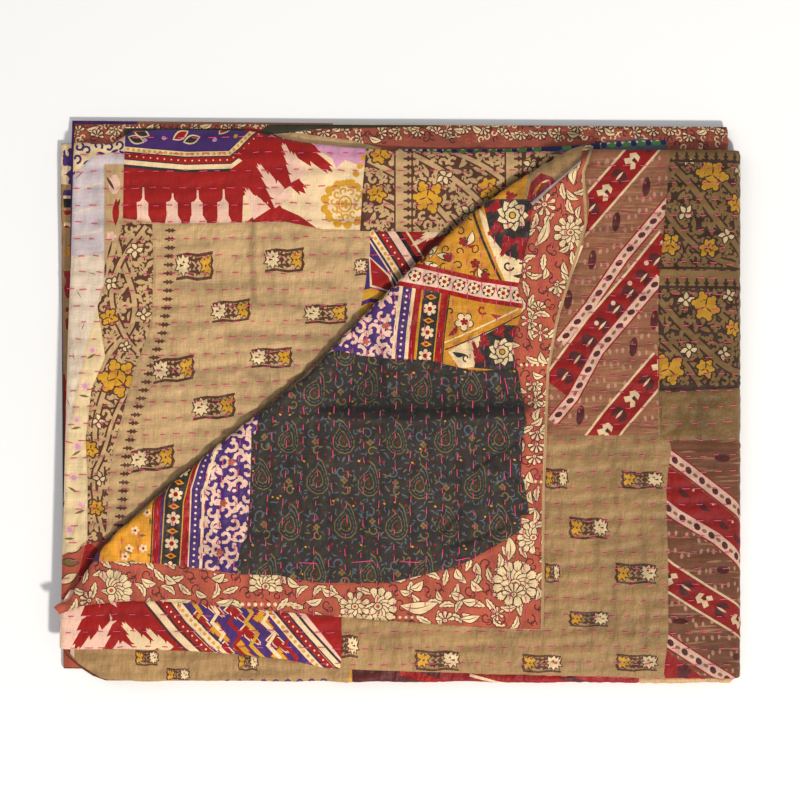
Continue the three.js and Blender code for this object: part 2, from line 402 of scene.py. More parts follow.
def cloth_material(name, sheen, sheen_roughness, **values):
    """A dyed cloth. Its dye is the mesh's own colour attribute."""
    material = bpy.data.materials.new(name)
    material.use_nodes = True
    tree = material.node_tree
    shader = tree.nodes["Principled BSDF"]
    dye = link_node(tree, "ShaderNodeVertexColor", (-700, 100), layer_name="dye")
    woven = link_node(tree, "ShaderNodeGroup", (-400, 100), node_tree=WOVEN_CLOTH)
    for socket, value in values.items():
        woven.inputs[socket].default_value = value
    tree.links.new(dye.outputs["Color"], woven.inputs["Dye"])
    tree.links.new(woven.outputs["Colour"], shader.inputs["Base Color"])
    tree.links.new(woven.outputs["Roughness"], shader.inputs["Roughness"])
    tree.links.new(woven.outputs["Normal"], shader.inputs["Normal"])
    shader.inputs["Sheen Weight"].default_value = sheen
    shader.inputs["Sheen Roughness"].default_value = sheen_roughness
    shader.inputs["Specular IOR Level"].default_value = 0.28
    return material


CLOTHS = dict(silk=cloth_material("old silk", 0.1, 0.35, Fading=0.1, Slubs=0.18, Roughness=0.42, Relief=0.5,
    Crinkles=0.75), cotton=cloth_material("printed cotton", 0.05, 0.5, Fading=0.12, Slubs=0.12,
        Roughness=0.56, Relief=0.4, Crinkles=0.5), wool=cloth_material("fine printed wool", 0.04, 0.6,
            Fading=0.16, Slubs=0.12, Roughness=0.62, Relief=0.5, Crinkles=0.5))
UNDER_PATCHES = 0.25
FULL_FROM = (1.75, 2)
SHEET_DYES = ["salmon", "deep_tan", "dusk", "moss", "red", "tan", "purple", "salmon", "brown", "cream",
    "navy"]
SHEET_PATCH_ACROSS, SHEET_PATCH_ALONG = 0.29, 0.37
DYE_STEPS = {"across": 4, "along": 3, "other side": 5}


def mesh_piece(name, places, faces, dyes, cloths, shares=1.0):
    """A smooth mesh from places in metres, with each face's dye, cloth and share of its brightness."""
    mesh = bpy.data.meshes.new(name)
    mesh.from_pydata([tuple(place) for place in places], [], faces)
    for cloth in CLOTHS.values():
        mesh.materials.append(cloth)
    order = {cloth: index for index, cloth in enumerate(CLOTHS)}
    mesh.polygons.foreach_set("material_index", [order[cloth] for cloth in cloths])
    table = {dye: linear(DYES[dye]) for dye in set(dyes)}
    colours = np.ones((len(faces), 4), np.float32)
    colours[:, :3] = np.array([table[dye] for dye in dyes]) * np.reshape(shares, (-1, 1))
    layer = mesh.color_attributes.new("dye", "FLOAT_COLOR", "CORNER")
    layer.data.foreach_set("color", np.repeat(colours, [len(face) for face in faces], 0).ravel())
    mesh.polygons.foreach_set("use_smooth", [True] * len(faces))
    mesh.update()
    piece = bpy.data.objects.new(name, mesh)
    bpy.context.collection.objects.link(piece)
    return piece


def quilted_sheet():
    """The whole folded sheet: the two sides of its net and the rim that joins them."""
    places, faces = sheet_net()
    for step in range(ROLL_STEPS + 1):
        places, faces = cut_net(places, faces, math.pi * ROLL * step / ROLL_STEPS)
    for step in range(SETTLE_STEPS):
        places, faces = cut_net(places, faces, math.pi * ROLL + SETTLE * (step + 1) / SETTLE_STEPS)
    across, along = places.T
    half = UNDER_PATCHES + (SHEET_HALF - UNDER_PATCHES) * smooth(across, *FULL_FROM)
    points = np.concatenate([sheet_place(across, along, half), sheet_place(across, along, -half)])
    count = len(places)
    dyes = []
    closed = []
    for face in faces:
        middle = places[face].mean(0)
        column, row = int(middle[0] / SHEET_PATCH_ACROSS), int(middle[1] / SHEET_PATCH_ALONG)
        number = column * DYE_STEPS["across"] + row * DYE_STEPS["along"]
        closed += [face[::-1], [i + count for i in face]]
        dyes += [SHEET_DYES[number % len(SHEET_DYES)],
            SHEET_DYES[(number + DYE_STEPS["other side"]) % len(SHEET_DYES)]]
    edges = {}
    for face in faces:
        for a, b in zip(face, face[1:] + face[:1]):
            if not edges.pop((b, a), None):
                edges[(a, b)] = True
    for a, b in edges:
        closed.append([a, b, b + count, a + count])
        dyes.append("deep_tan")
    return points, closed, dyes


points, closed, dyes = quilted_sheet()
low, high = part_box("quilt")
CENTRE = (points.min(0) + points.max(0)) / 2
SHIFT = np.array([(low.x + high.x) / 2, (low.y + high.y) / 2, 0]) - CENTRE * (MM, MM, 0)
sheet = mesh_piece("quilted_sheet", points * MM + SHIFT, closed, dyes, ["cotton"] * len(closed))
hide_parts("quilt")
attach(sheet, "root")


# The second layer's face. Its patches are pieces of old block-printed and woven saris, cut and sewn edge
# to edge: each is an outline in its cloth's ground colour, with the prints that fall inside it. Places
# are in the photograph's pixels, each 0.88 mm of the pack as seen from above.
MM_PER_PIXEL = 0.88
PHOTO_MIDDLE = (400, 401)
FACE_LIFT = 1.15
LEAST_LIFT, HEM_LIFT = 0.6, 0.4
CLOTH_STEP = 2.1
SEAM_STEP, PRINT_STEP, SEAM_POINTS = 2.4, 7.0, 0.7


def to_mm(points):
    return (np.asarray(points, float) - PHOTO_MIDDLE) * (MM_PER_PIXEL, -MM_PER_PIXEL)


def oval(x, y, wide, high, turn=0, points=10):
    """turn is in degrees, clockwise in the photograph."""
    angle = np.linspace(0, 2 * math.pi, points, endpoint=False)
    return turned([(wide / 2 * math.cos(a), high / 2 * math.sin(a)) for a in angle], x, y, turn)


def turned(ring, x, y, turn=0, size=1):
    c, s = math.cos(math.radians(turn)) * size, math.sin(math.radians(turn)) * size
    return [(x + a * c - b * s, y + a * s + b * c) for a, b in ring]


def behind(x, y, reach, turn):
    """The place at a reach behind another, against a direction in degrees."""
    return x - reach * math.cos(math.radians(turn)), y - reach * math.sin(math.radians(turn))


def bloom(x, y, radius, lobes, depth=0.25, turn=0):
    """A round flower or ragged blot with lobes."""
    ring = []
    for i in range(lobes * 6):
        angle = math.pi * i / (3 * lobes)
        reach = radius * (1 - 1.6 * depth + 1.6 * depth * abs(math.cos(lobes * angle / 2)) ** 0.6)
        ring.append((reach * math.cos(angle), reach * math.sin(angle)))
    return turned(ring, x, y, turn)


def leaf(x, y, length, wide, turn, curve=0):
    """A leaf or petal from its root, pointed at both ends."""
    steps = 4 if length < 8 else 6
    shares = [i / steps for i in range(steps + 1)]
    upper = [(t * length, (curve + wide / 2) * math.sin(math.pi * t)) for t in shares]
    lower = [(t * length, (curve - wide / 2) * math.sin(math.pi * t)) for t in shares[-2:0:-1]]
    return turned(upper + lower, x, y, turn)


def ribbon(line, wide):
    """A strip along a line of points."""
    line = np.array(line, float)
    ahead = np.gradient(line, axis=0)
    side = np.stack([-ahead[:, 1], ahead[:, 0]], -1) / np.hypot(*ahead.T)[:, None] * wide / 2
    return [tuple(p) for p in np.concatenate([line + side, (line - side)[::-1]])]


def rounded(line):
    """The same open line with its corners cut away twice."""
    line = np.array(line, float)
    for _ in range(2):
        cut = np.stack([line[:-1] * 0.75 + line[1:] * 0.25, line[:-1] * 0.25 + line[1:] * 0.75], 1).reshape(
            -1, 2)
        line = np.concatenate([line[:1], cut[1:-1], line[-1:]])
    return line


def steps_along(line, pitch, start=0.0):
    """Places at even steps along a line, each with the line's direction in degrees."""
    line = np.array(line, float)
    gone = np.concatenate([[0], np.cumsum(np.hypot(*np.diff(line, axis=0).T))])
    for reach in np.arange(start, gone[-1], pitch):
        i = min(np.searchsorted(gone, reach, "right") - 1, len(line) - 2)
        share = (reach - gone[i]) / (gone[i + 1] - gone[i])
        ahead = line[i + 1] - line[i]
        place = line[i] + ahead * share
        yield place[0], place[1], math.degrees(math.atan2(ahead[1], ahead[0]))


def spots(dye, line, pitch, long, wide, start=0.0):
    return [(dye, oval(x, y, long, wide, turn, 8)) for x, y, turn in steps_along(line, pitch, start)]


def flame(root, tip, wide, barbs):
    """A stepped flame from the middle of its root to its tip."""
    ahead = np.subtract(tip, root)
    length = math.hypot(*ahead)
    edge = []
    for i in range(barbs):
        half = wide / 2 * (1 - i / barbs)
        edge += [(i / barbs * length, half), ((i + 0.85) / barbs * length, half * 0.86)]
        edge.append(((i + 0.62) / barbs * length, half * 0.5))
    ring = edge + [(length, 0)] + [(a, -b) for a, b in edge[::-1]]
    return turned(ring, *root, math.degrees(math.atan2(ahead[1], ahead[0])))


def staggered(low, high, pitch_x, pitch_y, shift=0):
    """Places in rows over a field, each second row shifted: x, y, the number in the row and the row's."""
    for j, y in enumerate(np.arange(low[1], high[1], pitch_y)):
        for i, x in enumerate(np.arange(low[0] + shift * (j % 2), high[0], pitch_x)):
            yield x, y, i, j


def edged(line_dye, dye, ring, grow=0.9):
    """A print with an outline in another dye."""
    middle = np.mean(ring, 0)
    wider = []
    for place in ring:
        out = np.subtract(place, middle)
        wider.append(tuple(middle + out * (1 + grow / max(math.hypot(*out), 0.5))))
    return [(line_dye, wider), (dye, ring)]


def patch(cloth, ground, outline, prints=()):
    return dict(cloth=cloth, ground=ground, outline=outline, prints=list(prints))


def spaced(ring, step):
    """The same outline with points at most a step apart."""
    made = []
    for (x0, y0), (x1, y1) in zip(ring, ring[1:] + ring[:1]):
        count = max(1, math.ceil(math.hypot(x1 - x0, y1 - y0) / step))
        made += [(x0 + (x1 - x0) * i / count, y0 + (y1 - y0) * i / count) for i in range(count)]
    return made


def nearest(points, lines):
    """How far each point is from the nearest of some open lines."""
    best = np.full(len(points), 1e9)
    for line in lines:
        for a, b in zip(line[:-1], line[1:]):
            ahead = b - a
            share = np.clip((points - a) @ ahead / max(ahead @ ahead, 1e-9), 0, 1)
            best = np.minimum(best, np.hypot(*(points - a - share[:, None] * ahead).T))
    return best


def beside(away, width):
    """1 on a line, falling to 0 past its width."""
    return np.exp(-((away / width) ** 2))


def rumple(x, y, length_x, length_y, seed):
    """Smooth noise from -1 to 1 with its own length each way."""
    return np.array([noise.noise(Vector((a / length_x, b / length_y, seed))) for a, b in zip(x, y)])


WANDERS = [
    dict(share=1, along=47, across=90, phase=1.3),
    dict(share=0.6, along=21, across=35, phase=0),
]


def row_phase(x, y, rows):
    """How far along its stitched row a place lies, and how many rows up it is."""
    s, t = (x, y) if rows["way"] == "across" else (y, x)
    drift = 0
    for row in WANDERS:
        drift = drift + row["share"] * np.sin(s / row["along"] + t / row["across"] + row["phase"])
    lean = rows["lean"](s, t) if "lean" in rows else 0
    return s, (t - rows["start"] - rows["wave"] * drift - lean) / rows["pitch"]


SWELL_OVER_FACE, DRAWN_CALM, DRAWN_IN_FOLDS = 0.22, 0.42, 0.2
CALM_FROM, CALM_TO, LEAST_PUCKER = 2, 26, 0.25
SHORT_RIPPLE = dict(height=0.6, along=6.2, across=19.0)
LONG_RIPPLE = dict(height=0.8, along=46.0, across=7.4, lean_x=0.3, lean_y=-0.12, seed=7)
SOFT_SWELL = dict(height=0.4, length=42, seed=11)
SEAM_DIP = dict(depth=0.5, width=1.1)
SEAM_RIDGE = dict(height=0.22, width=1.5, away=2.6)
LIFT_ROUNDING = 0.04
HEM_WIDTH = 4


def each_way(ripple, way):
    """A ripple's two lengths, for rows that run across or down."""
    return (ripple["along"], ripple["across"]) if way == "across" else (ripple["across"], ripple["along"])


def quilted_lift(x, y, face, pucker):
    """The height of a face over its layer's middle: rows drawn down, ripples across them, and creases."""
    way, seed = face["rows"]["way"], face["seed"]
    phase = row_phase(x, y, face["rows"])[1]
    near_row = 0.5 + 0.5 * np.cos(2 * math.pi * phase)
    points = np.stack([x, y], -1)
    calm = smooth(nearest(points, [to_mm(line) for line in face.get("folds", [])]), CALM_FROM, CALM_TO)
    pucker = pucker * (LEAST_PUCKER + (1 - LEAST_PUCKER) * calm)
    lift = FACE_LIFT + SWELL_OVER_FACE - (DRAWN_IN_FOLDS + DRAWN_CALM * calm) * near_row**2
    short = SHORT_RIPPLE["height"] * rumple(x, y, *each_way(SHORT_RIPPLE, way), seed)
    long_x, long_y = x + LONG_RIPPLE["lean_x"] * y, y + LONG_RIPPLE["lean_y"] * x
    long = LONG_RIPPLE["height"] * rumple(
        long_x, long_y, *each_way(LONG_RIPPLE, way), seed + LONG_RIPPLE["seed"])
    soft = rumple(x, y, SOFT_SWELL["length"], SOFT_SWELL["length"], seed + SOFT_SWELL["seed"])
    lift = lift + pucker * ((0.5 + 0.5 * near_row) * short + long) + SOFT_SWELL["height"] * calm * soft
    for row in face["creases"]:
        away = nearest(points, [to_mm(row["line"])])
        lift = lift + row["height"] * beside(away, row["width"])
    seams = np.array([face["seams"].find((a, b, 0))[2] for a, b in zip(x, y)])
    lift = lift - SEAM_DIP["depth"] * beside(seams, SEAM_DIP["width"])
    lift = lift + SEAM_RIDGE["height"] * beside(seams - SEAM_RIDGE["away"], SEAM_RIDGE["width"])
    above = lift - LEAST_LIFT
    lift = LEAST_LIFT + 0.5 * (above + np.sqrt(above * above + LIFT_ROUNDING))
    hem = smooth(nearest(points, [to_mm(line) for line in face["hems"]]), 0, HEM_WIDTH)
    return HEM_LIFT + (lift - HEM_LIFT) * hem


def inside_ring(points, ring):
    x, y = points.T
    inside = np.zeros(len(points), bool)
    for (x0, y0), (x1, y1) in zip(ring, np.roll(ring, -1, 0)):
        crosses = (y0 > y) != (y1 > y)
        inside ^= crosses & (x < (x1 - x0) * (y - y0) / (y1 - y0 + 1e-12) + x0)
    return inside


def point_tree(rings):
    points = np.concatenate(rings)
    tree = kdtree.KDTree(len(points))
    for i, (x, y) in enumerate(points):
        tree.insert((x, y, 0), i)
    tree.balance()
    return tree


def painted(middles, allowed, ring):
    """Which allowed triangles have their middles in a ring. The middles are in order of x."""
    low, high = ring.min(0), ring.max(0)
    near = np.arange(*np.searchsorted(middles[:, 0], [low[0], high[0]]))
    near = near[(middles[near, 1] > low[1]) & (middles[near, 1] < high[1]) & allowed[near]]
    return near[inside_ring(middles[near], ring)]


def shown(ring, areas, later):
    """Whether any of a print shows: it meets both areas, and no later patch covers all of it."""
    for area in areas:
        if not (inside_ring(ring, area).any() or inside_ring(area, ring).any()):
            return False
    return not any(inside_ring(ring, over).all() for over in later)


def patched_face(name, face):
    """Cuts a face of the quilt into triangles along its patches and prints, and lays it on its layer."""
    edge = to_mm(spaced(face["edge"], SEAM_STEP))
    grounds = [to_mm(spaced(row["outline"], SEAM_STEP)) for row in face["patches"]]
    outlines = [to_mm(row["outline"]) for row in face["patches"]]
    prints = []
    for number, row in enumerate(face["patches"]):
        areas = (outlines[number], to_mm(face["edge"]))
        placed = [(dye, to_mm(spaced(ring, PRINT_STEP))) for dye, ring in row["prints"]]
        prints.append([(dye, ring) for dye, ring in placed if shown(ring, areas, outlines[number + 1 :])])
    face["seams"] = point_tree([to_mm(spaced(row["outline"], SEAM_POINTS)) for row in face["patches"]])
    rings = [edge] + grounds + [ring for rows in prints for _, ring in rows]
    starts = np.cumsum([0] + [len(ring) for ring in rings])
    lines = [(a + i, a + (i + 1) % (b - a)) for a, b in zip(starts, starts[1:]) for i in range(b - a)]
    low, high = edge.min(0), edge.max(0)
    columns = np.arange(low[0], high[0], CLOTH_STEP)
    heights = np.arange(low[1], high[1], CLOTH_STEP * 0.87)
    grid = [(x + CLOTH_STEP / 2 * (j % 2), y) for j, y in enumerate(heights) for x in columns]
    corners = np.concatenate(rings + [np.array(grid)])
    found = delaunay_2d_cdt([Vector(place) for place in corners], lines, [], 0, 1e-4)
    vertices, triangles = np.array(found[0]), np.array(found[2])
    triangles = triangles[np.argsort(vertices[triangles].mean(1)[:, 0])]
    middles = vertices[triangles].mean(1)
    within = np.zeros(len(triangles), bool)
    within[painted(middles, ~within, edge)] = True
    owner = np.full(len(triangles), -1)
    dyes = np.full(len(triangles), "", dtype=object)
    for number, (row, ground) in enumerate(zip(face["patches"], grounds)):
        here = painted(middles, within, ground)
        owner[here] = number
        dyes[here] = row["ground"]
        for dye, ring in prints[number]:
            dyes[painted(middles, owner == number, ring)] = dye
    kept = np.flatnonzero(owner >= 0)
    cloths = [face["patches"][number]["cloth"] for number in owner[kept]]
    pucker = np.zeros(len(vertices))
    for triangle, cloth in zip(triangles[kept], cloths):
        pucker[triangle] = PUCKERS[cloth]
    used, numbers = np.unique(triangles[kept], return_inverse=True)
    x, y = vertices[used].T
    lift = quilted_lift(x, y, face, pucker[used])
    places = face["surface"](x, y, lift) * MM + SHIFT
    faces = [list(row) for row in numbers.reshape(-1, 3).tolist()]
    # A painted light falloff darkens the face along x, where the face gives one.
    shares = np.interp(middles[kept, 0], *np.transpose(face.get("painted_falloff", [(0, 1)])))
    # Painted shade in the pucker hollows and a slight painted highlight on the ridges.
    shares = shares * np.interp(lift[numbers.reshape(-1, 3)].mean(1), HOLLOW_SHADE_LIFTS, HOLLOW_SHADE_SHARES)
    # Painted shade along creases, and along the roll a painted contact shadow.
    for row in face["creases"]:
        if "painted_shade" in row:
            away = nearest(middles[kept], [to_mm(row["line"])])
            shares = shares * (1 - row["painted_shade"] * beside(away, row["width"]))
    piece = mesh_piece(name, places, faces, list(dyes[kept]), cloths, shares)
    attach(piece, "root")
    return piece


PUCKERS = dict(silk=1.9, cotton=1.1, wool=1.2)
# Painted shade in low pucker hollows and a slight painted highlight on high ridges, as shares of brightness
# by height over the layer.
HOLLOW_SHADE_LIFTS, HOLLOW_SHADE_SHARES = (0.6, 0.8, 1.3, 2), (0.72, 0.87, 1, 1.05)


STITCH_LENGTH, STITCH_PERIOD, THREAD_RADIUS = 6.2, 13.6, 0.42
THREAD_SIDES, THREAD_FLATNESS = 5, 0.8
STITCH_SPREAD = dict(along=1.1, aside=0.35, turn=0.07, shortest=0.75, longest=1.25)
MOST_ROWS, ROW_ROUNDS = 40, 3
THREAD_RISE = [(-0.5, -0.5), (-0.36, 0.34), (0, 0.5), (0.36, 0.34), (0.5, -0.5)]


def sewn_threads(name, face, stitches):
    """Short threads that come up through the cloth and go down again: rows of x, y, turn and length."""
    x, y, turn, length = np.array(stitches).T
    ring = np.linspace(0, 2 * math.pi, THREAD_SIDES, endpoint=False)
    lines, ups = [], []
    for share, rise in THREAD_RISE:
        px = x + np.cos(turn) * length * share
        py = y + np.sin(turn) * length * share
        lift = quilted_lift(px, py, face, np.full(len(px), PUCKERS["cotton"]))
        here = face["surface"](px, py, lift + rise)
        over = face["surface"](px, py, lift + rise + 1)
        lines.append(here)
        ups.append(over - here)
    lines, ups = np.stack(lines, 1), np.stack(ups, 1)
    ahead = np.gradient(lines, axis=1)
    side = np.cross(ahead, ups)
    side /= np.linalg.norm(side, axis=2, keepdims=True)
    up = np.cross(side, ahead)
    up /= np.linalg.norm(up, axis=2, keepdims=True)
    tube = lines[:, :, None] + THREAD_RADIUS * (
        side[:, :, None] * np.cos(ring)[:, None] + THREAD_FLATNESS * up[:, :, None] * np.sin(ring)[:, None]
    )
    count = len(THREAD_RISE) * THREAD_SIDES
    faces = []
    for k in range(len(x)):
        for i in range(len(THREAD_RISE) - 1):
            for j in range(THREAD_SIDES):
                a, b = k * count + i * THREAD_SIDES + j, k * count + i * THREAD_SIDES + (j
                    + 1) % THREAD_SIDES
                faces.append([a, b, b + THREAD_SIDES, a + THREAD_SIDES])
    piece = mesh_piece(name, tube.reshape(-1, 3) * MM + SHIFT, faces, ["thread"] * len(faces),
        ["cotton"] * len(faces))
    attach(piece, "root")
    return piece


def running_stitches(face):
    """Where a face's running stitches lie, row by row, inside its stitched area."""
    rows = face["rows"]
    area = to_mm(face["stitched"])
    low, high = area.min(0), area.max(0)
    way = 0 if rows["way"] == "across" else 1
    rng = np.random.default_rng(int(face["seed"]))
    made = []
    for k in range(-MOST_ROWS, MOST_ROWS + 1):
        shift = rng.uniform(0, STITCH_PERIOD)
        s = np.arange(low[way] + shift, high[way], STITCH_PERIOD)
        s = s + rng.normal(0, STITCH_SPREAD["along"], len(s))
        t = np.full(len(s), rows["start"] + k * rows["pitch"])
        for _ in range(ROW_ROUNDS):
            x, y = (s, t) if way == 0 else (t, s)
            t = t + (k - row_phase(x, y, rows)[1]) * rows["pitch"]
        t = t + rng.normal(0, STITCH_SPREAD["aside"], len(s))
        x, y = (s, t) if way == 0 else (t, s)
        turn = rng.normal(0, STITCH_SPREAD["turn"], len(s)) + (0 if way == 0 else math.pi / 2)
        spread = rng.uniform(STITCH_SPREAD["shortest"], STITCH_SPREAD["longest"], len(s))
        length = STITCH_LENGTH * spread
        keep = inside_ring(np.stack([x, y], -1), area)
        made += list(zip(x[keep], y[keep], turn[keep], length[keep]))
    return made


LAST_TURN = 2.7


def layer_top(layer, x, y, lift):
    """A place on the upper side of a layer, round the fold at its far end and the half fold too."""
    level = PITCH * (LAYERS - 1 - layer)
    beyond = np.maximum(x - HALF_FOLD_X, 0) / (HALF_FOLD_RADIUS + level + CLOTH / 2)
    x = np.minimum(x, HALF_FOLD_X)
    if layer == LAYERS - 1:
        return half_fold(x, y, lift, beyond)
    outward = 1 if layer % 2 else -1
    line = np.full(len(x), layer + 1)
    left = LINE["upper_x"][layer + 1]
    bend = line_at(line, np.clip((x - left) / (HALF_FOLD_X - left), 0, 1))[1] - outward * END_ROOM
    past = np.maximum(outward * (y - bend), 0)
    turn = np.minimum(past / END_ROOM, LAST_TURN)
    radius = PITCH / 2 + lift
    flat = past <= 0
    y = np.where(flat, y, bend + outward * radius * np.sin(turn))
    height = np.where(flat, level + lift, level - PITCH / 2 + radius * np.cos(turn))
    return half_fold(x, y, height, beyond)


def lower_leaf(x, y, lift):
    """A place on the lower leaf's third layer, seen beside the left hem."""
    return half_fold(x, y, PITCH - lift, np.full(len(x), math.pi))


def sari_bands(line, shifts):
    """Bands of a printed border beside a line: rows of shift, width, dye, and the spots on it if any."""
    made = []
    line = np.array(line, float)
    ahead = np.gradient(line, axis=0)
    side = np.stack([-ahead[:, 1], ahead[:, 0]], -1) / np.hypot(*ahead.T)[:, None]
    for shift, wide, dye, on_it in shifts:
        middle = line + side * shift
        made.append((dye, ribbon(middle, wide)))
        if on_it:
            spot_dye, pitch, long, high = on_it
            made += spots(spot_dye, middle, pitch, long, high, pitch / 2)
    return made


MOTIF = [
    ("brown",
        [(0, 0.1), (0.3, 0.01), (0.6, 0.06), (1.02, -0.04), (1.02, 0.08), (0.6, 0.18), (0.3, 0.13),
            (0.02, 0.22)]),
    ("brown",
        [(0, 0.94), (0.3, 0.87), (0.6, 0.95), (1, 0.88), (1, 0.99), (0.6, 1.07), (0.3, 0.99), (0, 1.05)]),
    ("brown",
        [(0.38, 0.2), (0.47, 0.12), (0.44, 0.36), (0.52, 0.5), (0.45, 0.66), (0.5, 0.9), (0.38, 0.84),
            (0.42, 0.64), (0.36, 0.5), (0.42, 0.36)]),
    ("brown",
        [(0.54, 0.16), (0.62, 0.3), (0.56, 0.42), (0.66, 0.5), (0.58, 0.6), (0.66, 0.74), (0.56, 0.9),
            (0.56, 0.7), (0.5, 0.58), (0.58, 0.5), (0.5, 0.36)]),
    ("brown",
        [(0.96, 0.02), (1.04, 0.3), (1, 0.5), (1.05, 0.7), (0.99, 0.95), (0.93, 0.8), (0.96, 0.5),
            (0.92, 0.3)]),
    ("petal",
        [(0, 0.26), (0.07, 0.32), (0.06, 0.14), (0.14, 0.26), (0.18, 0.08), (0.25, 0.22), (0.34, 0.14),
            (0.36, 0.32), (0.31, 0.42), (0.38, 0.52), (0.3, 0.6), (0.36, 0.8), (0.25, 0.72), (0.2, 0.9),
            (0.14, 0.72), (0.06, 0.84), (0.08, 0.66), (-0.02, 0.66), (0.05, 0.5)]),
    ("yellow",
        [(0.72, 0.2), (0.8, 0.32), (0.82, 0.14), (0.88, 0.24), (0.97, 0.1), (0.96, 0.36), (0.88, 0.46),
            (0.97, 0.62), (0.94, 0.86), (0.86, 0.72), (0.78, 0.9), (0.79, 0.66), (0.68, 0.72), (0.75, 0.5),
            (0.66, 0.36)]),
    ("brown", [(0.34, 0.2), (0.5, 0.26), (0.66, 0.18), (0.68, 0.28), (0.5, 0.36), (0.34, 0.3)]),
    ("brown", [(0.34, 0.72), (0.5, 0.66), (0.68, 0.74), (0.66, 0.84), (0.5, 0.78), (0.34, 0.82)]),
    ("brown", [(0.1, 0.44), (0.22, 0.5), (0.1, 0.56)]), ("brown", [(0.2, 0.3), (0.26, 0.4), (0.18, 0.42)]),
    ("brown", [(0.8, 0.44), (0.86, 0.5), (0.8, 0.58)])]


def woven_motif(x0, y0, x1, y1, slant=0.0):
    """A small block motif of the tan silk: a cream flower, brown lines and a yellow bracket."""
    wide, high = x1 - x0, y1 - y0
    made = []
    for dye, ring in MOTIF:
        placed = [(x0 + wide * u, y0 + high * v + slant * (u - 0.5)) for u, v in ring]
        made += [(dye, placed)] if dye == "brown" else edged("brown", dye, placed, 1.7)
    return made


def curl(x, y, size, turn, wide, winding=1):
    """A small spiral stroke."""
    angles = [math.radians(turn + winding * 42 * i) for i in range(8)]
    return ribbon([(x + size * (1 - i / 10) * math.cos(a), y + size * (1 - i / 10) * math.sin(a))
                   for i, a in enumerate(angles)], wide)


FERN_MARK = [(0, -0.8), (3, -1.1), (4, -2.8), (6, -1), (7.4, -2.5), (9.4, -0.7), (12, 0)]
FERN_MARK += [(a, -b) for a, b in FERN_MARK[-2::-1]]


def fern_column(line, pitch, size, dye="brown", turn=0.0):
    return [(dye, turned(FERN_MARK, x, y, turn, size)) for x, y, _ in steps_along(line, pitch, pitch / 2)]


def brown_floral(low, high, vines, flowers, blots, seed, tan="tan", brown="brown"):
    """Tan leaves set close together on brown, with thick vines, cream leaves and yellow flowers over them."""
    rng = np.random.default_rng(seed)
    made = []
    for x, y, _, _ in staggered(low, high, pitch_x=10, pitch_y=8.8, shift=5):
        px, py, turn = x + rng.uniform(-1.6, 1.6), y + rng.uniform(-1.6, 1.6), rng.uniform(0, 360)
        kind = rng.uniform()
        if kind < 0.5:
            made.append((tan, bloom(px, py, rng.uniform(5, 6.4), int(rng.integers(3, 6)), 0.34, turn)))
            made.append((brown, leaf(px, py, 4.6, 1.5, turn)))
        elif kind < 0.75:
            made.append((tan, curl(px, py, 4.8, turn, 3, rng.choice([-1, 1]))))
        else:
            made.append((tan, leaf(*behind(px, py, 6, turn), 12, 5, turn, rng.uniform(-2, 2))))
    for line, wide in vines:
        line = rounded(line)
        made += [(brown, ribbon(line, wide + 4)), (tan, ribbon(line, wide))]
        for k, (x, y, turn) in enumerate(steps_along(line, 11, 5)):
            made.append((tan, leaf(x, y, 9, 4.4, turn + (64 if k % 2 else -64), 1.5)))
    for x, y, radius in blots:
        turn = rng.uniform(0, 360)
        for swing, size in [(0, 1.5), (70, 1.1), (-64, 1.2), (180, 1)]:
            made += edged(brown, "petal", leaf(x, y, radius * size, radius * 0.66, turn + swing, 1), 1.4)
    for x, y, radius in flowers:
        lobes = []
        for turn in range(10, 370, 60):
            angle, reach = math.radians(turn + rng.uniform(-12, 12)), radius * rng.uniform(0.6, 0.84)
            lobes.append(bloom(x + reach * math.cos(angle), y + reach * math.sin(angle), radius * 0.36, 3,
                0.26, turn))
        made += [row for lobe in lobes for row in edged(brown, "yellow", lobe, 1.6)]
        made += edged(brown, "yellow", oval(x, y, radius * 1.06, radius * 0.96), 1)
        made += [("yellow", lobe) for lobe in lobes] + [("ochre", oval(x, y, radius * 0.4, radius * 0.34))]
        made += [(brown, leaf(x, y, radius * 0.6, 1.5, turn)) for turn in range(40, 400, 120)]
    return made


def scroll_field(low, high, dye, leaf_dye, seed):
    """Thick scrolls and leaves that fill a ground."""
    rng = np.random.default_rng(seed)
    made = []
    for x, y, i, j in staggered(low, high, pitch_x=14.5, pitch_y=13, shift=7):
        way = 1 if (i + j) % 2 else -1
        px, py = x + rng.uniform(-1.5, 1.5), y + rng.uniform(-1.5, 1.5)
        turn = rng.uniform(-40, 40) + 90 * (i % 4)
        made.append((dye, curl(px, py, 6.6, turn, 3.4, way)))
        made.append((leaf_dye, leaf(px + 5, py + 3, 9, 4.4, turn + 100 * way, 1.2 * way)))
        made.append((dye, oval(px - 6, py + 6, 4.4, 3.4, turn)))
    return made


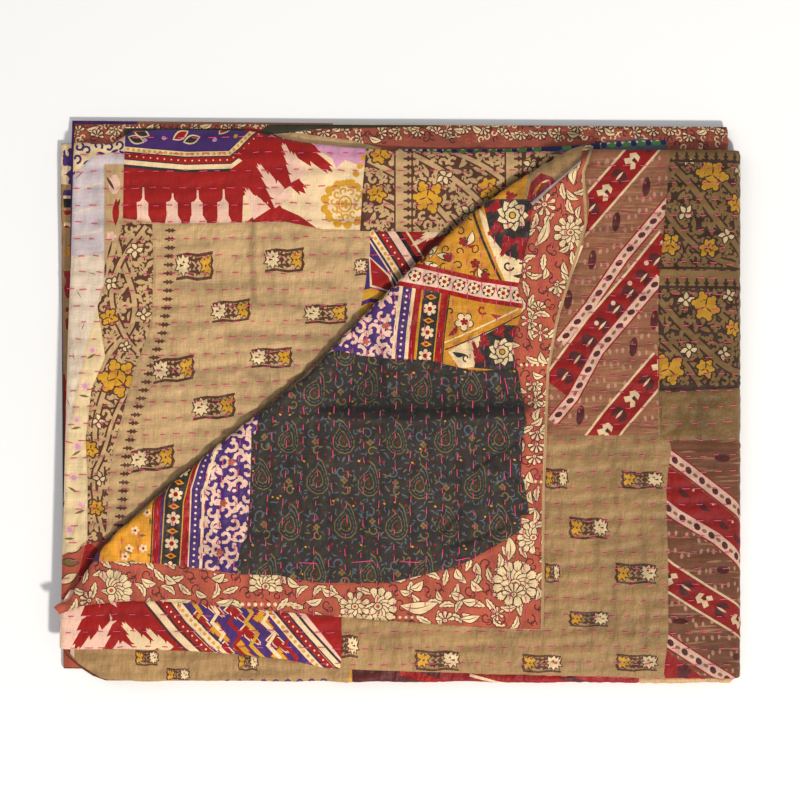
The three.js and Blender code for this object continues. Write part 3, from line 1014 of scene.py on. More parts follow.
def red_flames():
    """Stepped cream flames on red under a border of bands, from the end of a sari."""
    made = [("purple", [(120, 122), (252, 122), (231, 150), (180, 152), (120, 148)])]
    for x, y, turn in [(135, 136, 20), (154, 134, 200), (180, 138, -30), (205, 136, 160), (226, 132, -50)]:
        made += edged("petal", "charcoal" if turn > 0 else "red", leaf(x - 7, y, 15, 7, turn), 1.6)
        made.append(("lilac" if turn > 0 else "yellow", oval(x + 9, y + 3, 5, 4, turn)))
    border = [(119, 153), (150, 156), (186, 159), (230, 158), (240, 150), (262, 126)]
    made += sari_bands(border, [
        (-7.6, 1.6, "charcoal", None),
        (-5, 5, "cream", ("yellow", 5.4, 3.4, 3.4)),
        (-2, 1.4, "charcoal", None),
        (1.6, 6, "red", ("cream", 7, 1.6, 1.6)),
        (5.2, 1.4, "charcoal", None),
        (8.3, 5, "cream", None),
        (12, 3, "charcoal", None),
    ])
    for x, tip, base in [(143, 187, 16), (172.5, 193, 17), (197.5, 190, 18), (223.5, 189, 16)]:
        made.append(("blush",
            [(x - base / 2, 226), (x - base / 2 + 2, 217), (x - 6, 215), (x - 6.5, 202), (x - 3, 201),
                (x - 1, 198), (x - 0.8, tip), (x + 0.8, tip), (x + 1.4, 199), (x + 5, 203), (x + 5, 215),
                (x + base / 2, 221), (x + base / 2, 226)]))
    made.append(("cream",
        [(242, 226), (243, 196), (248, 192), (262, 199), (300, 216), (322, 232), (362, 236), (368, 140),
            (300, 128), (285, 142), (300, 180), (283, 190)]))
    made += [("red", flame((243, 160), (285, 219), 34, 4)), ("red", flame((252, 140), (306, 194), 46, 4))]
    made += [("red", flame((276, 128), (333, 172), 42, 4)), ("blush", flame((300, 178), (282, 142), 20, 4))]
    made += [("blush", flame((284, 202), (257, 163), 22, 4)),
        ("blush", flame((262, 214), (245, 188), 20, 3))]
    made.append(
        ("lilac", [(312, 140), (318, 150), (332, 158), (336, 168), (345, 160), (368, 168), (368, 140)]))
    made += [("yellow", bloom(345, 204, 25, 13, 0.12)), ("cream", bloom(346, 204, 19, 11, 0.1))]
    for k in range(10):
        angle = math.radians(12 + k * 36)
        a, b = 345 + 19 * math.cos(angle), 204 + 21 * math.sin(angle)
        made += [("yellow", oval(a, b, 7, 5, k * 36)),
            ("yellow", curl(345 + (a - 345) * 0.62, 204 + (b - 204) * 0.62, 4, k * 70, 2))]
    made += [("yellow", oval(345, 204, 15, 18)), ("cream", oval(345, 204, 11, 14)),
        ("yellow", bloom(345, 204, 5, 5, 0.3))]
    made += [("yellow", oval(352 + 4 * i, 182 - 8 * i, 7, 6)) for i in range(4)]
    return patch("cotton", "red",
        [(123, 108), (369, 108), (367, 150), (363.5, 183), (361, 230), (322, 229), (285, 221.5),
            (230, 222.5), (167, 223.5), (122, 218)], made)


def striped_silk():
    """The tail of the same print: steep bands of dots and flames, cut off by the fold."""
    line = [(378, 226), (395, 252), (412, 279), (440, 322)]
    made = sari_bands(line, [
        (-21, 2, "cream", None),
        (-13.5, 4, "black", None),
        (-8, 7, "blush", None),
        (-3.6, 1.6, "charcoal", None),
        (0.5, 6.5, "red", ("cream", 7, 2, 2)),
        (4.6, 1.6, "charcoal", None),
        (9, 6, "cream", ("yellow", 6, 4, 3.6)),
        (12.6, 1.2, "charcoal", None),
        (15, 1.4, "cream", None),
    ])
    wedge = [(370, 258), (388, 276), (395, 292), (372, 285)]
    made += edged("cream", "red", wedge, 2.6)
    made += [("yellow", [(355, 292), (372, 288), (394, 296), (384, 310), (355, 330)])]
    made += [("purple", ribbon([(356, 306), (370, 300), (384, 302), (392, 296)], 4)),
        ("cream", oval(372, 312, 12, 6, 20))]
    made.append(("cream", flame((444, 226), (411, 246), 14, 3)))
    outline = [(369.5, 229), (447, 229), (452, 236), (452, 250), (340, 372), (357, 330), (362, 300),
        (365, 285), (370, 252)]
    return patch("cotton", "purple", outline, [("red", [(394, 224), (456, 224), (456, 310), (440, 310)])]
        + made)


LEFT_VINES = [
    ([(112, 226), (122, 262), (136, 300), (132, 330), (108, 352), (96, 380)], 5),
    ([(146, 226), (118, 262), (108, 300), (126, 340), (138, 352)], 4),
    ([(120, 352), (100, 400), (92, 440), (104, 470), (94, 520)], 4.5),
    ([(130, 384), (112, 420), (104, 452), (90, 480), (102, 530)], 3.5),
]
CENTRE_VINES = [
    ([(368, 160), (400, 176), (436, 204), (462, 236)], 5),
    ([(404, 150), (440, 168), (476, 196), (500, 226)], 5),
    ([(450, 150), (486, 166), (516, 190)], 4.5),
    ([(368, 196), (396, 208), (420, 232)], 4.5),
    ([(500, 148), (540, 172)], 4),
]
SECOND_PATCHES = [
    patch("silk", "tan",
        [(122, 217), (167, 223), (230, 222), (285, 221), (322, 229), (371, 229), (371, 260), (365, 300),
            (356, 345), (60, 640), (60, 560), (85, 500), (110, 440), (120, 300)]), red_flames(),
    striped_silk(),
    patch("cotton", "brown",
        [(366, 120), (600, 120), (600, 160), (470, 255), (443, 232), (360, 231), (363, 183), (366, 150)],
        brown_floral((368, 136), (560, 240), CENTRE_VINES,
            [(427, 197, 15), (377, 194, 9), (488, 188, 10), (380, 155, 9)],
            [(446, 176, 7), (468, 214, 8), (530, 166, 7)], 5) + [
                ("brown", ribbon([(403.5, 140), (403.5, 236)], 19)),
                ("tan", ribbon([(403.5, 140), (403.5, 236)], 15.6)),
                ("brown", ribbon([(514, 140), (514, 205)], 19)),
                ("tan", ribbon([(514, 140), (514, 205)], 15.6))]
        + fern_column([(403.5, 146), (403.5, 236)], 8.4, 1.15)
        + fern_column([(514, 146), (514, 205)], 8.4, 1.15)),
    patch("cotton", "brown",
        [(121, 221), (152, 224), (153, 270), (152, 313), (148, 332), (139.5, 357), (134, 371), (128, 392),
            (123, 412), (114, 447), (110, 466), (107.6, 500), (105, 548), (86, 560), (87, 500), (85, 440),
            (91, 389), (99, 371), (105, 357), (100, 325), (97, 300), (115, 253)],
        brown_floral((84, 220), (156, 552), LEFT_VINES,
            [(116.5, 378, 17), (109, 317, 8), (90, 449, 8), (96, 508, 7)],
            [(136, 250, 7), (112, 282, 6), (142, 314, 6), (98, 420, 6), (99, 480, 6), (124, 346, 5)], 9)),
    patch("cotton", "petal",
        [(97, 306), (100, 325), (105, 357), (99, 371), (91, 389), (85, 440), (87, 479), (87, 541),
            (60, 560), (60, 522), (64, 500), (64, 453), (66, 440), (76, 389), (86, 345)],
        [row for x, y, size, turn in [(92, 350, 5, 0), (84, 386, 6, 40), (76, 420, 5, 20), (77, 447, 6, 0),
            (73, 478, 6, 60), (80, 505, 5, 10), (69, 530, 6, 30)]
            for row in [("blush", bloom(x, y, size, 6, 0.3, turn)),
                ("lilac", bloom(x, y, size * 0.5, 6, 0.3, turn)),
                ("olive", leaf(x - 6, y + 9, 11, 2.6, turn - 30))]]),
    patch("cotton", "white",
        [(50, 256), (69, 256), (104, 252), (104, 290), (97, 306), (86, 345), (76, 389), (66, 440),
            (64, 453), (64, 500), (50, 530)],
        [("grey", leaf(x, y, 9, 1.1, turn)) for x, y, turn in [(76, 290, 60), (84, 322, 110), (72, 352, 80),
            (66, 398, 70), (88, 272, 20)]]),
    patch("cotton", "tan",
        [(104, 164), (123.5, 164), (122.5, 221), (115, 253), (97, 302), (104, 290), (104, 252)],
        [("blush", oval(114, 184, 12, 20)), ("brown", leaf(106, 176, 16, 3, 60)),
            ("brown", leaf(120, 198, 15, 3, 110)), ("red", leaf(116, 198, 28, 7, 92)),
            ("blush", bloom(111, 236, 5, 5)), ("brown", leaf(106, 262, 18, 3, 100)),
            ("maroon", leaf(112, 240, 20, 2, 105)), ("blush", oval(104, 282, 5, 9, 20))]),
    patch("cotton", "sky",
        [(50, 178), (72, 175), (91, 157), (106, 152), (124, 152), (124, 164), (104, 164), (104, 252),
            (69, 256), (50, 258)],
        [("white", ribbon([(72, 190), (88, 186), (102, 182)], 2)),
            ("white", ribbon([(72, 212), (90, 208), (103, 206)], 2)),
            ("white", ribbon([(71, 236), (88, 233), (103, 230)], 2)),
            ("grey", leaf(84, 170, 14, 1.6, 140))]),
    patch("silk", "dull_tan",
        [(529, 203), (531, 184), (541, 169), (556, 160), (590, 156), (600, 170), (560, 210)],
        [("crimson", [(526, 206), (530, 186), (536, 178), (546, 178), (554, 190), (546, 210)]),
            ("ochre", leaf(533, 196, 14, 3, -60)), ("petal", leaf(540, 184, 10, 2, -20)),
            # The sky ribbon along the lens's lower edge is a painted shadow beside the roll.
            ("sky", ribbon([(532, 206), (548, 192), (566, 178), (584, 162)], 7))]),
    patch("cotton", "petal",
        [(56, 130), (124, 130), (124, 153), (106, 154), (91, 157), (72, 175), (56, 180)],
        [("purple", curl(x, y, 5.2, turn, 2.4, way)) for x, y, turn, way in [(66, 168, 0, 1),
            (76, 158, 90, -1), (86, 150, 180, 1), (97, 145, 40, -1), (108, 147, 220, 1), (118, 144, 80, -1),
            (64, 150, 200, 1), (78, 146, 300, 1), (92, 138, 20, 1), (106, 138, 160, -1)]]
        + [("purple", leaf(x, y, 9, 3, turn)) for x, y, turn in [(70, 178, -60), (82, 164, -30),
            (96, 152, 10), (110, 152, -20), (118, 150, 30)]]),
    patch("wool", "salmon",
        [(50, 522), (60, 522), (60, 556), (85, 545), (105, 540), (112, 536), (60, 640), (50, 640)],
        edged("maroon", "petal", leaf(62, 552, 24, 12, -28), 1.2)
        + edged("maroon", "petal", leaf(60, 546, 18, 9, -70), 1.2)
        + edged("maroon", "olive", leaf(60, 562, 18, 7, 4), 1.1)
        + edged("maroon", "petal", leaf(59, 584, 20, 8, -30), 1.2)
        + [("red", [(86, 541), (98, 549), (92, 562), (86, 582), (79, 594), (78, 574)])]
        + edged("maroon", "petal", bloom(64, 604, 6, 5, 0.3), 1))]
tan_silk = SECOND_PATCHES[0]["prints"]
tan_silk += fern_column(
    [(165, 226), (162, 300), (158, 330), (144, 372), (131, 412), (121, 455), (117, 500), (112, 536)], 8.6,
    1)
for x0, y0, x1, y1, slant in [
    (176, 252, 212, 279, 0),
    (265, 248, 303, 271, 0),
    (212, 300, 249, 321, -2),
    (305, 304, 346, 323, 0),
    (153, 357, 193, 381, -4),
    (251, 347.5, 291, 367, 0),
    (193, 395, 234, 418, -3),
    (131, 447, 173, 470, -4),
    (355, 258, 385, 275, 0),
]:
    tan_silk += woven_motif(x0, y0, x1, y1, slant)
ROLL_LINE = [(587, 149), (547, 164), (507, 186), (474, 210), (446, 231), (399, 277), (331, 349), (280, 395),
    (239, 429), (154, 497), (103, 543), (94, 554), (80, 586), (62, 610)]
SECOND_FACE = dict(surface=partial(layer_top, 1), patches=SECOND_PATCHES, seed=3.0,
    rows=dict(way="across", pitch=15.0, start=8.0, wave=0.7,
        lean=lambda s, t: 0.075 * (s + 300) * smooth(-t, -110, 40)),
    edge=[(73, 138), (123, 132), (173, 126), (224, 126), (274, 132), (324, 142), (375, 146), (425, 148),
        (475, 150), (525, 149), (600, 147), (600, 165), (470, 262), (350, 372), (250, 460), (160, 530),
        (118, 565), (98, 600), (80, 640), (59, 648), (61, 569), (63, 492), (65, 415), (67, 338), (70, 260)],
    hems=[[(73, 126), (70, 260), (67, 338), (63, 492), (59, 680)]],
    stitched=[(74, 118), (600, 118), (470, 250), (60, 660)], creases=[
        # The darkening on these creases is painted shade; along the roll it is a painted contact shadow at
        # the fold and a broad painted shadow beside the roll.
        dict(line=[(253, 222), (251, 262), (254, 300)], height=-1.3, width=2.6, painted_shade=0.2),
        dict(line=[(258, 224), (257, 262), (260, 300)], height=0.7, width=2.4),
        dict(line=[(176.5, 306), (174, 330), (171, 355)], height=-0.9, width=2.2),
        dict(line=[(151, 372), (142, 405)], height=-0.8, width=2),
        dict(line=[(188, 376), (184, 393)], height=-0.7, width=2),
        dict(line=[(230, 338), (280, 336), (330, 341)], height=-0.8, width=5, painted_shade=0.12),
        dict(line=[(236, 304), (262, 303), (300, 306)], height=-0.9, width=3, painted_shade=0.14),
        dict(line=[(180, 284), (250, 283), (340, 286)], height=-0.6, width=4, painted_shade=0.1),
        dict(line=[(196, 372), (240, 368), (268, 384)], height=-0.8, width=3, painted_shade=0.12),
        dict(line=[(238, 376), (278, 375)], height=-0.8, width=1.6),
        dict(line=[(366, 154), (450, 156), (540, 160)], height=-0.6, width=3),
        dict(line=ROLL_LINE, height=-1.6, width=2.2, painted_shade=0.6),
        dict(line=ROLL_LINE, height=0, width=30, painted_shade=0.12)])
second_patches = patched_face("second_layer_patches", SECOND_FACE)
second_stitches = sewn_threads("second_layer_stitches", SECOND_FACE, running_stitches(SECOND_FACE))


# The turned corner's face, which is the quilt's underside: old printed wool shawls at its edge and in
# its middle, and a strip of a many-banded print along the roll. Its stitches run down it.
DRAW_ROUNDS = 4
ROLL_START = 0.35 * math.pi


def turned_corner(x, y, lift):
    """A place on the visible side of the turned corner, round the roll too."""
    from_x, from_y = x, y
    for _ in range(DRAW_ROUNDS):
        drawn_x, drawn_y = draw_roll(from_x, from_y, roll_places(from_x, from_y)[0], 1)
        from_x, from_y = from_x + x - drawn_x, from_y + y - drawn_y
    along, across = roll_places(from_x, from_y)
    down = (2 * ROLL - PITCH) * smooth(across - ROLL, 0, SETTLE)
    angle = np.maximum(math.pi - (ROLL - across) / (ROLL + CLOTH / 2), ROLL_START)
    flat = across >= ROLL
    new_across = np.where(flat, across, ROLL - (ROLL + lift) * np.sin(angle))
    height = np.where(flat, 2 * ROLL + lift - down, ROLL - (ROLL + lift) * np.cos(angle))
    place = TURN_POINT + along[:, None] * TURN_ALONG + new_across[:, None] * TURN_ACROSS
    new_x, new_y = draw_roll(place[:, 0], place[:, 1], along, 1)
    return half_fold(new_x, new_y, UPPER + height, 0 * x)


def chain_band(line, wide):
    """A dark band with a chain of cream, red and yellow flowers between thin yellow lines."""
    made = [("yellow", ribbon(line, wide)), ("charcoal", ribbon(line, wide - 2.2))]
    for k, (x, y, turn) in enumerate(steps_along(line, wide * 0.62, wide * 0.3)):
        if k % 2:
            made.append(("ochre", turned([(-3, 0), (0, -wide * 0.3), (3, 0), (0, wide * 0.3)], x, y, turn)))
            made.append(("red", oval(x, y, 2.6, wide * 0.26, turn, 6)))
        else:
            made += [("cream", bloom(x, y, wide * 0.36, 6, 0.3, turn)),
                ("red", oval(x, y, wide * 0.26, wide * 0.26, 0, 6))]
    return made


PETAL_EDGE = [(0, 0), (0.45, -0.13), (0.74, -0.21), (0.8, -0.12), (0.87, -0.17), (0.83, -0.05), (0.93, 0)]
PETAL_EDGE += [(a, -b) for a, b in PETAL_EDGE[-2:0:-1]]


def carnation(x, y, radius, turn=0, spread=360, petals=9):
    """A cream carnation with maroon outlines, whole or a fan of petals."""
    made = []
    for k in range(petals):
        angle = turn + spread * ((k + 0.5) / petals - 0.5)
        away = (radius * 0.22 * math.cos(math.radians(angle)),
            radius * 0.22 * math.sin(math.radians(angle)))
        petal = turned(PETAL_EDGE, x + away[0], y + away[1], angle, radius * 0.84)
        made += edged("maroon", "petal", petal, 1.1)
        tip = turned([(0.35, -0.02), (0.66, 0), (0.35, 0.02)], x + away[0], y + away[1], angle,
            radius * 0.84)
        made.append(("maroon", tip))
    for k in range(petals * (radius > 12)):
        angle = turn + spread * ((k + 1) / petals - 0.5)
        inner = leaf(x, y, radius * 0.62, radius * 0.3, angle)
        made += edged("maroon", "petal", inner, 0.9)
    made += edged("maroon", "petal", oval(x, y, radius * 0.4, radius * 0.34), 1)
    return made + [("salmon", oval(x, y, radius * 0.2, radius * 0.2))]


def plume(x, y, length, wide, turn, curve=0):
    """A curved feathery leaf with a notched edge and a vein."""
    shares = [i / 8 for i in range(9)]
    swell = [math.sin(math.pi * t) ** 0.8 * wide * (0.62 if i % 2 else 0.44) for i, t in enumerate(shares)]
    bow = [curve * math.sin(math.pi * t) for t in shares]
    upper = [(t * length, c + w) for t, c, w in zip(shares, bow, swell)]
    lower = [(t * length, c - w) for t, c, w in zip(shares, bow, swell)][-2:0:-1]
    made = edged("maroon", "petal", turned(upper + lower, x, y, turn), 1.2)
    made.append(("maroon", leaf(x, y, length * 0.9, 0.9, turn, curve)))
    return made


def veined_leaf(x, y, length, wide, turn, curve=0, dye="petal"):
    made = edged("maroon", dye, leaf(x, y, length, wide, turn, curve), 1.1)
    return made + [("maroon", leaf(x, y, length * 0.86, 0.9, turn, curve))]


PAISLEY = [(0, 10), (5, 9.4), (8.6, 6), (9.4, 1), (7.4, -4), (3.4, -7.6), (-1, -11.6), (-6, -15),
    (-11, -15.4), (-8.4, -12), (-7.4, -8), (-8.6, -3), (-9, 3), (-5.6, 8.4)]


def paisley(x, y, size, turn):
    """A paisley drawn in fine lines, with a small flower in it and sprigs round it."""
    made = []
    for dye, share in [("moss", 1.12), ("olive", 1.0), ("charcoal", 0.92), ("slate", 0.76),
            ("charcoal", 0.69), ("olive", 0.48), ("moss", 0.41)]:
        made.append((dye, turned(PAISLEY, x, y, turn, size * share)))
    for k in range(11):
        angle = math.radians(turn + k * 33)
        way = (math.cos(angle), math.sin(angle))
        made.append(("charcoal", leaf(x + 6 * way[0], y + 6 * way[1], 6, 1.6, turn + k * 33)))
        made.append(("slate",
            leaf(x + 12.6 * size * way[0], y + 12.6 * size * way[1], 4.4, 1.5, turn + k * 33 + 40)))
    for dx, dy, dye in [(0, 0, "crimson"), (3, 4, "olive"), (-3, -5, "crimson"), (-6, 4, "olive")]:
        made.append((dye, oval(x + dx, y + dy, 2.6, 2, turn, 6)))
    return made


def scattered_paisleys(low, high, seed):
    """Rows of paisleys on a ground full of small sprigs, dashes and flowers."""
    rng = np.random.default_rng(seed)
    made = []
    for x, y, _, _ in staggered(low, high, pitch_x=7, pitch_y=7):
        px, py = x + rng.uniform(-2.6, 2.6), y + rng.uniform(-2.6, 2.6)
        dye = rng.choice(["slate", "olive", "dirt", "crimson", "ochre"], p=[0.5, 0.22, 0.14, 0.11, 0.03])
        if dye in ("crimson", "ochre"):
            made.append((dye, oval(px, py, 2.4, 2, 0, 5)))
        elif dye == "dirt":
            made.append(("moss", bloom(px, py, 4, 3, 0.3, rng.uniform(0, 360))))
        else:
            made.append(
                (dye, leaf(px, py, rng.uniform(4, 7.6), 1.5, rng.uniform(0, 360), rng.uniform(-2.2, 2.2))))
    for row, y in enumerate(np.arange(low[1], high[1], 44)):
        for x in np.arange(low[0] - 26 * (row % 2), high[0], 52):
            x, y = x + rng.uniform(-3, 3), y + rng.uniform(-3, 3)
            made += paisley(x, y, rng.uniform(1.1, 1.3), rng.uniform(20, 50))
            a, b = x + 26, y + rng.uniform(-4, 4)
            made.append(("slate", curl(a - 3, b - 9, 6, rng.uniform(0, 360), 1.4)))
            made.append(("olive", curl(a + 2, b + 9, 5.4, rng.uniform(0, 360), 1.4, -1)))
            made += [("olive", bloom(a, b, 3.4, 4, 0.3)), ("crimson", oval(a, b, 2, 2, 0, 6))]
            made += [("ochre", oval(x + 15, y + 20, 3, 2, 30, 6)),
                ("crimson", oval(x - 14, y + 19, 3, 2.4, 60, 6))]
    return made


def salmon_border():
    """The shawl's flowered edge: large outlined carnations, curved leaves, shells and swirls."""
    rng = np.random.default_rng(31)
    made = []
    for low, high in [((512, 150), (592, 480)), ((500, 480), (548, 624)), ((64, 562), (505, 622))]:
        for x, y, _, _ in staggered(low, high, pitch_x=15, pitch_y=14, shift=7):
            px, py, turn = x + rng.uniform(-2, 2), y + rng.uniform(-2, 2), rng.uniform(0, 360)
            if rng.uniform() < 0.62:
                made += plume(*behind(px, py, 8, turn), 17, 5.4, turn, rng.uniform(-3.4, 3.4))
            else:
                made += [("maroon", curl(px, py, 6, turn, 1.3)),
                    ("maroon", curl(px + 3, py + 4, 4, turn + 90, 1.1, -1))]
    for x, y, radius, turn, spread, petals in [(570, 233, 18, 0, 360, 10), (544, 205, 12, 0, 360, 8),
            (556, 285, 10, 60, 200, 5), (529, 321, 9, 0, 360, 6), (540, 333, 9, 0, 360, 6),
            (538, 309, 8, -90, 180, 5), (534, 384, 9, 90, 220, 5), (535, 400, 9, 0, 360, 6),
            (537, 432, 9, 90, 200, 5), (536, 444, 9, 90, 200, 5), (534, 456, 9, 90, 200, 5),
            (533, 537, 17, 180, 200, 7), (515, 583, 24, 0, 360, 13), (513.5, 594, 12, -90, 190, 6),
            (266, 586, 18, -90, 230, 8), (445, 620, 10, -90, 190, 5), (497, 613, 7, 0, 360, 6),
            (378, 606, 20, 10, 260, 9), (112, 590, 22, -20, 220, 9), (524, 271, 8, 0, 360, 6),
            (355, 606, 16, 0, 360, 8), (90, 600, 10, 200, 200, 5)]:
        made += carnation(x, y, radius, turn, spread, petals)
    for x, y, length, wide, turn, curve in [(534, 247, 31, 9, -62, 3), (563, 262, 14, 6, 70, 2),
            (545, 268, 12, 6, 100, -2), (540, 352, 14, 7, 60, 3), (532, 372, 12, 6, 20, 3),
            (540, 408, 16, 7, 100, 4), (530, 424, 14, 6, -30, 3), (529, 471, 13, 7, 70, 3),
            (508, 560, 24, 10, -88, 2), (476, 562, 13, 8, 70, 2), (456, 568, 13, 8, 60, 2),
            (451, 592, 14, 8, 20, 2), (471, 580, 15, 8, 40, 3), (462, 600, 16, 8, 0, 2),
            (400, 605, 38, 12, -4, 4), (410, 588, 15, 8, -30, 3), (460, 618, 20, 7, -8, 2),
            (322, 588, 15, 7, 20, 3), (306, 601, 17, 7, -10, 3), (306, 616, 18, 6, 4, 2),
            (400, 590, 12, 6, 10, 2), (142, 578, 16, 8, 20, 3), (166, 574, 14, 8, 40, 3),
            (160, 600, 32, 9, 0, 3), (212, 578, 14, 8, -20, 3), (216, 602, 18, 8, -10, 3),
            (196, 590, 13, 6, 30, 2), (288, 576, 16, 7, 40, 3), (530, 490, 14, 6, 80, 3),
            (534, 508, 16, 6, 95, -3), (535, 600, 14, 6, -80, 3), (437, 590, 12, 5, 60, 2),
            (576, 168, 18, 8, 100, 3), (566, 190, 16, 6, 40, 3), (580, 206, 14, 5, 100, 2),
            (558, 252, 13, 5, -30, 2)]:
        made += veined_leaf(x, y, length, wide, turn, curve)
    for line, pitch, size in [
        ([(521, 365), (547, 365)], 5.4, 3), ([(236, 604), (296, 604)], 6.6, 4),
        ([(340, 616), (420, 617)], 6, 3), ([(519, 480), (545, 482)], 5.4, 3),
        ([(125, 612), (225, 614)], 6, 3)]:
        made += spots("petal", line, pitch, size, size)
    made += [("tan", ribbon(CORNER_HEM[:11], 5.5))]
    return made


CORNER_HEM = [(593, 147), (584, 173), (587, 223), (573, 271), (558, 320), (549, 370), (547, 421),
    (545, 472), (544, 524), (544, 577), (543, 629), (500, 628), (457, 625), (414, 622), (371, 619),
    (329, 615), (287, 612), (245, 608), (204, 604), (163, 601), (123, 601), (84, 605), (60, 614)]
CHARCOAL = [(300, 351), (338, 350), (364, 355), (394.5, 358), (429, 359), (439, 362), (461, 367),
    (479, 370), (515, 367), (518, 372), (521, 392), (525.6, 418), (522, 443), (521, 469), (525, 489),
    (529, 513), (520.5, 515.5), (520.5, 529.5), (510, 537), (489, 549), (468, 561), (450, 568), (425, 574),
    (389, 582.5), (322, 582.5), (298, 579), (278, 575), (236, 574), (238, 561), (241.5, 544), (247, 537),
    (250, 500), (250, 472), (252, 434), (240, 418)]
PANEL = [(520, 160), (532, 176), (532, 204), (529, 236), (523, 260), (517, 290), (522, 303), (521, 313),
    (512, 344), (516, 368), (479, 371), (461, 368), (439, 363), (429, 360), (394.5, 359), (364, 356),
    (338, 351), (300, 351), (440, 220), (500, 166)]


def banded_panel():
    """Bands of a printed sari beside the roll, with curls on yellow and flowers like webs."""
    down = [(410, 270), (406, 300), (402, 330), (399, 366)]
    made = [("purple", [(300, 351), (400, 262), (406, 300), (399, 370), (300, 370)])]
    made += scroll_field((316, 276), (404, 366), "blush", "blush", 6)
    made += [("salmon", bloom(386, 326, 4, 5, 0.3)), ("salmon", bloom(366, 342, 4, 5, 0.3))]
    made.append(("mustard", [(436, 270), (530, 290), (521, 313), (512, 344), (516, 370), (430, 372)]))
    made += edged("charcoal", "petal", bloom(464, 322, 9, 5, 0.3, 20), 1.2)
    made += [("crimson", bloom(464, 322, 4, 5, 0.3, 50)), ("crimson", curl(482, 310, 5, 40, 2)),
             ("crimson", leaf(448, 336, 14, 5, -50, 2)), ("charcoal", curl(450, 312, 4.6, 150, 1.6)),
             ("crimson", leaf(490, 314, 16, 4, 10, 2))]
    made += [("petal", [(448, 352), (478, 334), (500, 330), (492, 346), (478, 366), (460, 369)])]
    made += [("charcoal", leaf(452, 352, 14, 5, 10, 2)), ("charcoal", curl(466, 358, 4, 90, 1.6))]
    made += [("charcoal", [(474, 368), (476, 350), (486, 334), (504, 325), (522, 326), (518, 372)])]
    made += [("crimson", flame((x, y), tip, 11, 3)) for x, y, tip in [(480, 362, (472, 340)),
        (484, 346, (482, 326)), (498, 336, (504, 320)), (512, 336, (520, 324))]]
    made += [("mustard", ribbon([(443, 347), (470, 336), (500, 322), (522, 311)], 5)),
             ("charcoal", ribbon([(445, 350), (472, 339), (502, 325), (522, 314)], 1.2)),
             ("petal", ribbon([(444, 343), (470, 332), (500, 318), (518, 309)], 1.6))]
    made += sari_bands(down, [
        (6.3, 3.6, "cream", None),
        (0, 9, "purple", ("cream", 6, 2.4, 2.4)),
        (-6.4, 3.6, "cream", None),
        (-11.2, 6, "red", None),
        (-38, 7, "red", None),
        (-42.4, 1.4, "charcoal", None),
    ])
    made += chain_band([(433, 280), (429, 316), (425.5, 350), (424, 366)], 19)
    upper = [(380, 268), (404, 271), (440, 279), (480, 288), (531, 294), (531, 236), (534, 190), (470, 180),
        (380, 262)]
    made.append(("mustard", upper))
    rng = np.random.default_rng(15)
    for x, y in [(452, 228), (466, 246), (438, 246), (424, 262), (450, 262), (478, 268), (462, 214),
            (488, 280)]:
        turn = rng.uniform(0, 360)
        made += edged("charcoal", "petal", leaf(x, y, 15, 6, turn, 2), 1.2) + [
            ("crimson", leaf(x, y, 10, 3, turn + 60, 2))]
        made += [("charcoal", curl(x + 8, y + 4, 5, turn, 1.3)),
            ("charcoal", curl(x - 7, y + 6, 4.4, turn + 90, 1.3, -1))]
        made += edged("charcoal", "crimson", bloom(x - 3, y - 4, 4, 5, 0.3, turn), 1)
    made += [("petal",
        [(476, 204), (484, 232), (496, 262), (508, 288), (531, 292), (531, 258), (510, 252), (494, 232)])]
    made += [("charcoal", curl(508, 266, 6, 20, 2)), ("charcoal", leaf(512, 276, 14, 4, -20, 3)),
             ("charcoal", curl(520, 262, 5, 200, 2))]
    made += [("charcoal", [(482, 200), (534, 200), (531, 240), (525, 262), (506, 256), (490, 236)])]
    made += [("crimson", flame((x, y), tip, 14, 3)) for x, y, tip in [
        (500, 206, (484, 212)), (500, 226, (487, 236)), (510, 238, (500, 258)), (522, 238, (520, 262)),
        (512, 200, (506, 192)), (526, 214, (534, 222))]]
    made += [("charcoal", ribbon([(472, 212), (482, 240), (494, 268), (504, 288)], 3)),
             ("mustard", ribbon([(470, 212), (480, 240), (492, 268), (502, 288)], 1.6))]
    for x, y, radius in [(512, 216, 16), (502, 352, 14)]:
        for k in range(9):
            made += edged("charcoal", "petal", leaf(x, y, radius, radius * 0.66, 40 * k), 1)
            made.append(("charcoal", leaf(x, y, radius * 0.8, 1, 40 * k)))
        made += [("charcoal", bloom(x, y, radius * 0.56, 9, 0.1)),
            ("petal", bloom(x, y, radius * 0.46, 9, 0.1)),
            ("charcoal", oval(x, y, radius * 0.5, radius * 0.5)),
            ("yellow", oval(x, y, radius * 0.34, radius * 0.34))]
    flowered = [(396, 273), (440, 281), (480, 290), (526, 297)]
    made += [("charcoal", ribbon(flowered, 20))]
    made += [("blush", ribbon(flowered, 17))]
    for k, (x, y, turn) in enumerate(steps_along(flowered, 15, 4)):
        made += [("charcoal", oval(x, y, 13, 12, turn, 8)), ("cream", bloom(x, y, 5.4, 6, 0.3, turn)),
                 ("red", oval(x, y, 4.4, 4.4, 0, 6)), ("crimson", leaf(x + 6, y - 4, 4, 2.4, turn + 90))]
    made += [("red", ribbon([(404, 263), (440, 271), (480, 280), (530, 287)], 4.6)),
             ("red", ribbon([(388, 282), (440, 291), (480, 300), (528, 307)], 4.6))]
    return patch("silk", "mustard", PANEL, made)


